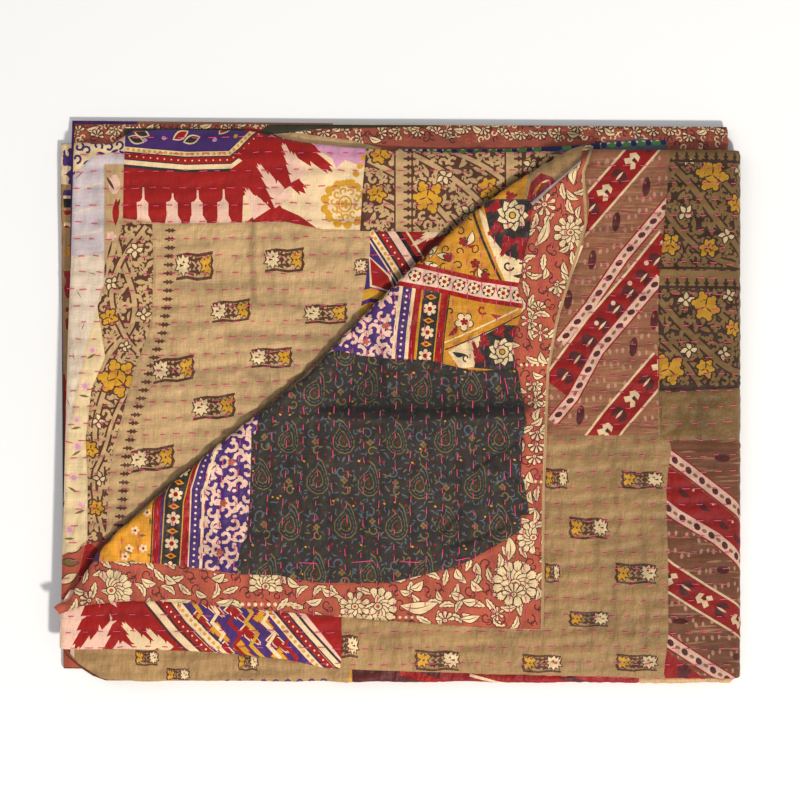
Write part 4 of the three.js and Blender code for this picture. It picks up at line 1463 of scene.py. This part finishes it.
def banded_columns():
    """The same print's bands where they come out below the roll on the left."""
    down = [(212, 440), (197, 490), (194, 560), (193, 578)]
    made = [
        ("purple", [(196, 430), (262, 400), (256, 434), (252, 500), (241, 544), (238, 578), (200, 578)])]
    made += scroll_field((204, 420), (262, 580), "blush", "blush", 8)
    made += [("salmon", bloom(x, y, 4, 5, 0.3)) for x, y in [(224, 503), (232, 462), (220, 552)]]
    made += [("ochre", [(100, 530), (164, 470), (158, 520), (152.5, 578), (100, 578)])]
    for x, y, turn in [(136, 530, 0), (148, 512, 90), (130, 548, 200), (144, 548, 30), (126, 556, 0)]:
        made += [("cream", bloom(x, y, 4.4, 5, 0.3, turn)), ("crimson", oval(x, y, 3, 3, 0, 6)),
                 ("olive", leaf(x + 3, y + 5, 8, 2.6, turn))]
    made += sari_bands(down, [
        (-7.4, 3, "cream", None),
        (0, 9, "purple", ("cream", 6, 2.4, 2.4)),
        (5.4, 1.6, "cream", None),
        (9.2, 6.6, "red", None),
        (38, 7, "red", None),
        (42.6, 1.4, "charcoal", None),
    ])
    made += chain_band([(190, 440), (175, 500), (171, 560), (169.5, 578)], 20)
    return patch("silk", "purple",
        [(90, 545), (262, 400), (256, 434), (252, 434), (250, 500), (247, 537), (241.5, 544), (238, 561),
            (237, 573.5), (187, 566.5), (155, 563), (122, 561), (90, 561)], made)


CORNER_FACE = dict(surface=turned_corner, patches=[
    patch("wool", "salmon", [(560, 100), (620, 120), (600, 240), (560, 640), (40, 640), (40, 560)],
        salmon_border()),
    patch("wool", "charcoal", CHARCOAL, scattered_paisleys((240, 350), (540, 600), 4)), banded_panel(),
    banded_columns(),
    patch("silk", "dull_tan",
        [(524, 196), (528, 172), (548, 150), (582, 146), (580, 163), (556, 184), (532, 206)],
        [("crimson", [(526, 202), (530, 184), (540, 174), (552, 178), (556, 186), (534, 206)]),
            ("ochre", leaf(532, 196, 16, 3, -55)), ("petal", leaf(540, 184, 10, 2, -20)),
            # The sky ribbon along the lens's lower edge is a painted shadow beside the roll.
            ("sky", ribbon([(530, 208), (548, 192), (566, 178), (584, 162)], 6))])], seed=21.0,
    rows=dict(way="down", pitch=13.3, start=-17.6, wave=0.8, lean=lambda s, t: -0.00045 * s * t),
    edge=CORNER_HEM + [(54, 607), (75, 583), (88, 551), (98, 539), (150, 492), (235, 424), (276, 390),
        (327, 344), (395, 272), (442, 226), (470, 205), (503, 181), (543, 158), (587, 143)],
    hems=[CORNER_HEM], stitched=[(580, 160), (540, 350), (542, 500), (532, 618), (345, 614), (80, 604),
        (100, 556), (240, 440), (400, 290)], creases=[
            # The darkening on these creases is painted shade, in the deep fold across the dark patch, in its
            # small wrinkles, and round the lens at the roll's end.
            dict(line=[(320, 409), (420, 411), (525, 408)], height=-1.7, width=4, painted_shade=0.75),
            dict(line=[(350, 402), (420, 404), (525, 402)], height=-0.4, width=13, painted_shade=0.34),
            dict(line=[(298, 418), (410, 420.5), (520, 417)], height=1.4, width=2.4),
            dict(line=[(380, 340), (384, 400)], height=-0.9, width=4, painted_shade=0.2),
            dict(line=[(241, 538), (281, 532)], height=-0.8, width=2, painted_shade=0.3),
            dict(line=[(527, 205), (548, 187), (572, 166), (590, 150)], height=-1.2, width=3, painted_shade=0.55),
            dict(line=[(520, 200), (546, 172), (584, 148)], height=-0.4, width=9, painted_shade=0.3),
            dict(line=[(443, 532), (460, 512)], height=-1, width=2, painted_shade=0.5),
            dict(line=[(452, 546), (474, 540), (506, 526)], height=-1, width=2.2, painted_shade=0.6),
            dict(line=[(474, 470), (500, 452), (522, 441)], height=-0.9, width=2.4, painted_shade=0.5),
            dict(line=[(488, 462), (508, 476), (524, 486)], height=-0.9, width=2, painted_shade=0.4)])
LONG_TACKS = [
    [(298, 562), (318, 563)],
    [(351, 562), (374, 560)],
    [(399, 561), (421, 562)],
    [(455, 560), (470, 557)],
    [(504, 377), (508, 395)],
    [(510, 458), (510, 478)],
    [(514, 505), (515, 516)],
]


def long_tacks():
    """The few long stitches that tack the dark patch down."""
    made = []
    for (x0, y0), (x1, y1) in [to_mm(line) for line in LONG_TACKS]:
        made.append(
            ((x0 + x1) / 2, (y0 + y1) / 2, math.atan2(y1 - y0, x1 - x0), math.hypot(x1 - x0, y1 - y0)))
    return made


corner_patches = patched_face("turned_corner_patches", CORNER_FACE)
corner_stitches = sewn_threads("turned_corner_stitches", CORNER_FACE, running_stitches(CORNER_FACE)
    + long_tacks())


# The first layer's face: tan woven silk, and striped and floral block prints, sewn edge to edge. Its
# rows of stitches run across it, and it goes round the lower fold and the half fold at the right.
def oval_band(line, wide, pitch, long, high, start, ground="blush"):
    """A pale border band between red lines, with dark ovals along it and faint blots between them."""
    made = [("red", ribbon(line, wide + 3)), (ground, ribbon(line, wide))]
    for x, y, turn in steps_along(line, pitch, start):
        made.append(("maroon", oval(x, y, long, high, turn + 24, 8)))
    for x, y, turn in steps_along(line, pitch, start + pitch / 2):
        made.append(("dusk", oval(x, y, long * 0.7, high * 0.6, turn, 7)))
    return made


BRACKET = [(-7, -3), (-8, 3), (-3, 7), (0, 4), (5, 8), (8, 3), (4, 0), (9, -4), (5, -7), (1, -4), (1, 1),
    (-3, 1), (-2, -5)]


def red_band(line, wide, marks, start=8):
    """A red border band with cream leaves and dark leaves in turn between cream edges."""
    made = [("cream", ribbon(line, wide + 4.5)), ("red", ribbon(line, wide))]
    for k, (x, y, turn) in enumerate(steps_along(line, 21, start)):
        if k % 2 == marks:
            made += [("cream", turned(BRACKET, x, y, turn)), ("charcoal", oval(x + 1, y, 4, 4, turn, 6))]
        else:
            for side in (-1, 1):
                made.append(("maroon",
                    leaf(*behind(x, y, 7, turn), 15, wide * 0.3, turn + 20 * side, wide * 0.1 * side)))
            made.append(("cream", leaf(*behind(x, y, 6, turn), 12, 2.4, turn)))
    return made


def scattered_ovals(places):
    made = []
    for x, y, turn in places:
        made += [("maroon", oval(x, y, 8, 20, turn, 12)), ("dusk", oval(x - 1, y - 4, 2, 4, turn, 6))]
    return made


def faint_sprigs(low, high, seed):
    rng = np.random.default_rng(seed)
    made = []
    for x in np.arange(low[0], high[0], 15):
        for y in np.arange(low[1], high[1], 17):
            px, py = x + rng.uniform(-4, 4), y + rng.uniform(-4, 4)
            made += [("rose", oval(px, py, 3.6, 6, rng.uniform(-20, 20), 6)),
                ("rose", oval(px + 7, py - 1, 3, 5, 0, 6))]
    return made


def streaks(low, high, count, seed):
    """Thin uneven threads across a worn ground."""
    rng = np.random.default_rng(seed)
    return [(str(rng.choice(["dull_dusk", "bright_dusk"])), leaf(rng.uniform(low[0], high[0]),
        rng.uniform(low[1], high[1]), rng.uniform(14, 44), rng.uniform(0.9, 2.4), rng.uniform(-7, 7)))
        for _ in range(count)]


def upper_stripes():
    made = streaks((530, 140), (650, 434), 340, 5) + faint_sprigs((536, 146), (660, 434), 2)
    made += scattered_ovals([(646, 187, 8), (592, 260, 8), (633, 347, 8), (580, 415, 8), (616, 222, 8),
        (654, 320, 8), (568, 300, 8)])
    made += red_band([(676, 108), (648, 143), (584, 217), (545, 262)], 24, 0, 26)
    made += oval_band([(680, 188), (661, 212), (623, 257), (589, 307), (560, 343)], 10, 18, 8.4, 5.6, 7)
    made += red_band([(672, 242), (640, 282), (600, 328), (556, 388)], 30, 2, 4)
    made += spots("blush", [(668, 236), (634, 278), (592, 328)], 26, 5, 5, 9)
    made += oval_band([(660, 278), (637, 305), (598, 351), (573, 397), (552, 422)], 10, 18, 8.4, 5.6, 9)
    made += red_band([(664, 362), (650, 378), (614, 420), (596, 444)], 25, 0, 6)
    return patch("cotton", "dusk",
        [(520, 100), (672, 100), (671, 143), (658, 290), (657.6, 435), (520, 436)], made)


def lower_stripes():
    made = streaks((660, 440), (760, 680), 160, 6) + faint_sprigs((668, 520), (760, 680), 3)
    made += [("red",
        [(650, 456), (684, 477), (733, 515), (775, 544), (775, 580), (740, 556), (666, 504), (650, 490)])]
    made += [("maroon", oval(722, 458, 16, 8, 4)), ("maroon", oval(754, 470, 12, 8, 10)),
        ("umber", oval(700, 448, 26, 8))]
    made += oval_band([(655, 446), (684, 467), (733, 505), (772, 534)], 11, 17, 8.4, 6, 7)
    for x, y, turn in [(684, 492, 40), (704, 506, 38), (724, 524, 40), (740, 538, 40)]:
        made += [("maroon", leaf(x - 6, y - 5, 16, 6, turn, 2)), ("cream", oval(x + 9, y - 2, 3, 3, 0, 6))]
    made += oval_band([(650, 494), (677, 515), (716, 538), (742, 560), (772, 584)], 11, 17, 8.4, 6, 6)
    made += [("maroon", oval(723, 570, 14, 8)), ("maroon", oval(680, 621, 16, 6)),
        ("maroon", oval(739, 657, 12, 7))]
    made += red_band([(650, 562), (666, 575), (702, 598), (742, 622), (775, 642)], 24, 1, 2)
    made += oval_band([(650, 628), (668, 641), (700, 662), (735, 684), (770, 706)], 11, 17, 8.4, 6, 8)
    made += [("red", [(655, 652), (668, 652), (712, 684), (700, 700), (655, 700)]),
        ("maroon", bloom(684, 672, 8, 5, 0.3))]
    return patch("cotton", "umber",
        [(669, 440), (775, 441), (775, 700), (672, 700), (664, 674), (668, 634), (668, 573), (667, 535),
            (666, 490), (668, 469), (671, 449)], made)


FLORAL_VINES = [
    ([(664, 158), (690, 184), (716, 220), (745, 254)], 6),
    ([(700, 150), (726, 186), (760, 214)], 5),
    ([(664, 210), (684, 238), (716, 262), (760, 268)], 5),
    ([(659, 300), (687, 332), (726, 369), (745, 373), (770, 374)], 6),
    ([(700, 290), (724, 320), (760, 340)], 5),
    ([(662, 340), (680, 356), (700, 386)], 4.5),
]


def block_printed_floral():
    made = brown_floral((660, 144), (772, 388), FLORAL_VINES,
        [(712, 175, 15), (670, 245, 10), (708, 248, 9), (705, 307, 14), (668, 369, 15), (705, 369, 9),
            (734, 328, 8), (738, 204, 9)],
        [(684, 214, 7), (728, 236, 7), (684, 300, 7), (728, 296, 6), (690, 350, 7), (724, 352, 6),
            (690, 158, 6), (742, 170, 7), (742, 282, 5)], 12, "drab", "earth")
    for y in (161, 268, 287):
        made.append(("earth", ribbon([(655, y), (775, y + 1)], 2.6)))
    made += [("drab", ribbon([(655, 152), (775, 153)], 13)), ("drab", ribbon([(655, 278), (775, 279)], 15))]
    made += fern_column([(662, 152), (775, 153)], 9.8, 1.05, "earth", 90)
    made += fern_column([(662, 278), (775, 279)], 9.8, 1.15, "earth", 90)
    made.append(("earth", ribbon([(655, 391), (700, 389), (775, 388)], 3)))
    return patch("cotton", "earth",
        [(672, 100), (775, 100), (775, 388), (740, 388), (703, 389.5), (682, 392), (659, 391), (658, 290),
            (671, 143)], made)


def lower_flames():
    """The same sari end as on the second layer, turned about: flames between dotted bands."""
    made = [("red", flame((106, 600), (74, 650), 40, 4)), ("red", flame((136, 602), (104, 656), 36, 4))]
    made += [("red", [(116, 600), (170, 600), (214, 660), (150, 660), (122, 640)])]
    made += [("cream", flame((150, 654), (122, 622), 24, 4)),
        ("cream", flame((168, 652), (146, 628), 16, 3))]
    made += [("purple", [(182, 600), (292, 600), (330, 672), (226, 668)])]
    for x, y, turn, dye in [(204, 622, 30, "red"), (222, 634, 60, "yellow"), (238, 614, 20, "red"),
            (252, 636, 40, "red"), (266, 622, 60, "yellow"), (246, 652, 20, "yellow"),
            (280, 644, 30, "red"), (230, 654, 10, "red"), (262, 606, 30, "red"), (284, 660, 40, "yellow"),
            (216, 608, 60, "red")]:
        made += edged("cream" if dye == "red" else "red", dye, flame((x - 9, y - 8), (x + 8, y + 8), 12, 3),
            1.6)
    for k, dye in enumerate(["yellow", "cream", "red", "yellow", "cream", "red"]):
        x = 192 + 17 * k
        line = [(x, 600), (x + 9, 613), (x + 3, 622), (x + 15, 634), (x + 8, 645), (x + 20, 658),
            (x + 16, 670)]
        made.append((dye, ribbon(line, 4.4)))
    made += sari_bands([(150, 600), (176, 632), (206, 662)], [
        (6, 2, "charcoal", None),
        (1, 7, "cream", None),
        (-4, 2, "charcoal", None),
        (-9, 6.4, "red", ("cream", 6.4, 2, 2)),
        (-13.6, 1.6, "charcoal", None),
        (-19, 7, "cream", ("yellow", 6.4, 4, 3.6)),
        (-24, 1.6, "charcoal", None),
    ])
    made += sari_bands([(270, 600), (300, 636), (340, 680)], [
        (7.4, 6, "cream", ("yellow", 6.4, 4, 3.6)),
        (3, 1.4, "charcoal", None),
        (-1, 6, "red", ("cream", 6.4, 2, 2)),
        (-5, 1.4, "charcoal", None),
        (-8.4, 5, "cream", None),
        (-12, 2.4, "charcoal", None),
    ])
    made += [("red", [(304, 612), (348, 612), (348, 668), (330, 644)])]
    return patch("cotton", "blush", [(40, 590), (341, 590), (342, 650), (338, 690), (40, 690)], made)


def tan_silk_blocks(places, slant=0.0):
    return [row for x0, y0, x1, y1 in places for row in woven_motif(x1, y0, x0, y1, slant)]


LOWER_BLOCKS = [(545, 468, 567, 488), (570, 517, 607, 538), (545, 563, 559, 582), (616, 563, 656, 583),
    (622, 471, 662, 488), (570, 611, 608, 626), (617, 654, 657, 670.5), (416, 650, 459, 670),
    (523, 654, 561, 672), (330, 634, 358, 657), (468, 606, 500, 626)]
FIRST_HEM = [(586, 149), (630, 150), (677, 150), (775, 150)]
LOWER_FOLD = [(59, 655), (110, 654), (162, 655), (213, 657), (265, 662), (316, 671), (367, 675), (419, 677),
    (470, 678), (521, 680), (573, 681), (624, 682), (675, 684), (775, 684)]
FIRST_FACE = dict(surface=partial(layer_top, 0), patches=[
    patch("silk", "dull_tan",
        [(300, 580), (560, 380), (775, 380), (775, 450), (671, 449), (668, 573), (668, 634), (664, 674),
            (672, 700), (300, 700)], tan_silk_blocks(LOWER_BLOCKS)),
    # The drab strip is the same tan silk as the first patch, given a darker dye as painted shade near the
    # fold.
    patch("silk", "drab", [(658, 388), (775, 386), (775, 442), (669, 442), (660, 436)]), upper_stripes(),
    block_printed_floral(), lower_stripes(), lower_flames()], seed=41.0,
    rows=dict(way="across", pitch=14.1, start=163.7, wave=0.9),
    # A painted light falloff: the face is darker towards the right.
    painted_falloff=[(-60, 1), (80, 0.9), (172, 0.82), (236, 0.72), (274, 0.62)],
    folds=[LOWER_FOLD, [(738, 130), (738, 700)]], edge=FIRST_HEM + LOWER_FOLD[::-1]
    + [(60, 605), (70, 590), (220, 588), (420, 604), (528, 612), (529, 470), (535, 360), (570, 240),
        (572, 200)], hems=[FIRST_HEM, [(60, 600), (59, 690)]], stitched=[(580, 152), (738, 152), (738, 682),
            (560, 680), (300, 664), (62, 648), (66, 600), (520, 630), (540, 400)],
    creases=[dict(line=[(612, 440), (616, 520), (613, 640)], height=-1.0, width=3),
        dict(line=[(592, 440), (596, 540), (590, 650)], height=-0.9, width=3),
        dict(line=[(644, 440), (641, 520), (646, 660)], height=-0.9, width=3),
        dict(line=[(700, 392), (698, 440)], height=-0.9, width=2.6)])
first_patches = patched_face("first_layer_patches", FIRST_FACE)
first_stitches = sewn_threads("first_layer_stitches", FIRST_FACE, running_stitches(FIRST_FACE))


# What shows of the layers below: the third layer past the lower fold, the last layer past the upper
# fold, and a sliver of the lower leaf beside the left hem.
def salmon_floral(low, high, seed):
    rng = np.random.default_rng(seed)
    made = []
    for y in np.arange(low[1], high[1] + 4, 6.5):
        for x in np.arange(low[0], high[0], 7):
            turn = rng.uniform(0, 360)
            dye = rng.choice(["maroon", "petal", "salmon"], p=[0.5, 0.3, 0.2])
            made.append((dye, curl(x + rng.uniform(-2, 2), y + rng.uniform(-2, 2), 3.6, turn, 1.3)))
    for x in np.arange(low[0], high[0], 19):
        y = rng.uniform(low[1], high[1])
        made += carnation(x, y, 7, rng.uniform(0, 360), 220, 5)
        made += veined_leaf(x + 8, y - 2, 13, 6, rng.uniform(-40, 40), 2)
    return made


BOTTOM_HEM = [(69, 659), (76, 668), (104, 686), (129, 688), (775, 689)]
THIRD_FACE = dict(surface=partial(layer_top, 2), patches=[
    patch("silk", "dull_tan", [(60, 620), (352, 640), (352, 700), (60, 700)],
        tan_silk_blocks([(135, 651, 157, 666), (166, 669, 188, 683), (238, 654, 257, 671)])
        + [("purple", curl(x, 683, 4, 20 * k, 2)) for k, x in enumerate(range(228, 330, 12))]),
    patch("silk", "maroon", [(349, 650), (440, 650), (440, 700), (349, 700)],
        [("yellow", [(332, 668), (352, 668), (352, 690), (332, 690)]),
            ("red", ribbon([(400, 672), (440, 684)], 8))]),
    patch("silk", "crimson", [(440, 650), (640, 650), (640, 700), (440, 700)],
        [("cream", ribbon([(470, 676), (520, 690)], 3)), ("maroon", ribbon([(560, 676), (600, 690)], 6))]),
    patch("silk", "tan", [(640, 650), (775, 650), (775, 700), (640, 700)]),
    patch("cotton", "white", [(60, 640), (73, 640), (73, 668), (60, 668)],
        [("navy", ribbon([(66, 646), (70, 664)], 2))])], seed=57.0,
    rows=dict(way="across", pitch=14.6, start=8.0, wave=0.6),
    edge=[(69, 640), (120, 641), (300, 650), (420, 664), (775, 671)] + BOTTOM_HEM[::-1],
    hems=[[(69, 640), (69, 659)]], stitched=[(72, 660), (300, 664), (300, 680), (100, 680)], creases=[])
third_patches = patched_face("third_layer_patches", THIRD_FACE)
LAST_FACE = dict(surface=partial(layer_top, 3), patches=[
    patch("wool", "brick", [(60, 110), (760, 110), (760, 170), (60, 170)],
        salmon_floral((76, 124), (440, 138), 3) + salmon_floral((446, 124), (668, 134), 4)),
    patch("silk", "moss",
        [(122, 126), (262, 127), (275, 117), (440, 117), (440, 124), (320, 127), (262, 134), (122, 133)]),
    patch("silk", "tan",
        [(272, 132), (296, 131), (352, 139), (383, 147), (365, 152), (319, 145), (281, 136)]),
    patch("cotton", "slate",
        [(396, 147), (451, 148), (508, 148), (576, 144), (640, 137), (668, 139), (672, 160), (396, 160)],
        spots("cream", [(400, 149), (490, 149), (560, 145), (668, 139)], 7, 4, 2.4)
        + spots("green", [(403, 152), (490, 151), (560, 147), (668, 141)], 15, 9, 5)
        + spots("navy", [(410, 151), (490, 150), (560, 146), (668, 140)], 15, 6, 7)
        + [("navy", [(542, 143), (560, 141), (560, 150), (542, 151)]),
            ("navy", [(574, 140), (601, 137), (601, 148), (574, 149)])]),
    patch("silk", "brick", [(668, 110), (760, 110), (760, 170), (668, 170)],
        salmon_floral((672, 118), (730, 148), 9))], seed=63.0,
    rows=dict(way="across", pitch=14.6, start=236.0, wave=0.6),
    edge=[(72, 122), (224, 122), (424, 123), (760, 125), (760, 166), (560, 160), (420, 158), (300, 150),
        (224, 140), (72, 150)],
    hems=[[(60, 122), (224, 122), (424, 123), (775, 125)], [(72, 122), (72, 160)]],
    stitched=[(76, 124), (700, 126), (700, 148), (76, 138)], creases=[])
last_patches = patched_face("last_layer_patches", LAST_FACE)


def bar(dye, top, bottom):
    """A bar of one dye across the sliver."""
    return dye, [(50, top), (80, top), (80, bottom), (50, bottom)]


LEAF_FACE = dict(surface=lower_leaf, patches=[patch("silk", "deep_tan",
    [(50, 130), (80, 130), (80, 660), (50, 660)],
    [bar("purple", 130, 194), bar("cream", 194, 197), bar("black", 197, 206), bar("red", 209, 218),
        bar("cream", 220, 236), ("red", oval(64, 228, 8, 8)), bar("red", 237, 245), bar("ochre", 245, 260),
        bar("crimson", 270, 330), bar("red", 439, 457)])], seed=71.0,
    rows=dict(way="across", pitch=14.6, start=2.0, wave=0.6), edge=[(58, 146), (76, 146), (78, 400),
        (74, 640), (63, 640), (62, 520), (61, 400), (60, 300), (58, 200)],
    hems=[[(58, 140), (58, 200), (60, 300), (61, 400), (62, 520), (63, 660)]],
    stitched=[(60, 150), (70, 150), (70, 600), (64, 600)], creases=[])
leaf_patches = patched_face("lower_leaf_patches", LEAF_FACE)


# The floor is a plain pale plane. The light is soft studio light, from a lamp at the lower right, a
# weaker one at the upper left, and a white room round them.
floor_mesh = bpy.data.meshes.new("floor")
FLOOR_REACH = 6
floor_mesh.from_pydata(
    [(x * FLOOR_REACH, y * FLOOR_REACH, 0) for x, y in [(-1, -1), (1, -1), (1, 1), (-1, 1)]], [],
    [(0, 1, 2, 3)])
floor = bpy.data.objects.new("floor", floor_mesh)
bpy.context.collection.objects.link(floor)
pale = bpy.data.materials.new("pale floor")
pale.use_nodes = True
pale.node_tree.nodes["Principled BSDF"].inputs["Base Color"].default_value = (0.95, 0.95, 0.95, 1)
pale.node_tree.nodes["Principled BSDF"].inputs["Roughness"].default_value = 0.9
floor_mesh.materials.append(pale)
LAMPS = [
    dict(name="key", place=(1.45, -2.05, 2.9), size=0.35, power=122, colour=(1, 0.95, 0.88)),
    dict(name="fill", place=(-1.6, 1.2, 2.6), size=2.2, power=16, colour=(0.94, 0.97, 1)),
]
for row in LAMPS:
    data = bpy.data.lights.new(row["name"], "AREA")
    data.size = row["size"]
    data.energy = row["power"]
    data.color = row["colour"]
    lamp = bpy.data.objects.new(row["name"], data)
    lamp.location = row["place"]
    lamp.rotation_mode = "QUATERNION"
    lamp.rotation_quaternion = (-Vector(row["place"])).to_track_quat("-Z", "Y")
    bpy.context.collection.objects.link(lamp)
room = bpy.data.worlds.new("white room")
room.use_nodes = True
room.node_tree.nodes["Background"].inputs["Color"].default_value = (0.96, 0.98, 1, 1)
room.node_tree.nodes["Background"].inputs["Strength"].default_value = 0.4
bpy.context.scene.world = room
bpy.context.scene.view_settings.view_transform = "Standard"

# The camera looks straight down at the pack, as the photograph does. Its view is as wide as the
# photograph, 800 pixels of 0.88 mm.
CAMERA_HEIGHT = 2.2
PHOTO_WIDTH = 0.704
SENSOR_WIDTH, PACK_TOP = 36, 0.025
lens = bpy.data.cameras.new("camera")
lens.sensor_width = SENSOR_WIDTH
lens.lens = SENSOR_WIDTH * (CAMERA_HEIGHT - PACK_TOP) / PHOTO_WIDTH
camera = bpy.data.objects.new("camera", lens)
camera.location = (SHIFT[0], SHIFT[1] + MM_PER_PIXEL * MM, CAMERA_HEIGHT)
bpy.context.collection.objects.link(camera)
bpy.context.scene.camera = camera
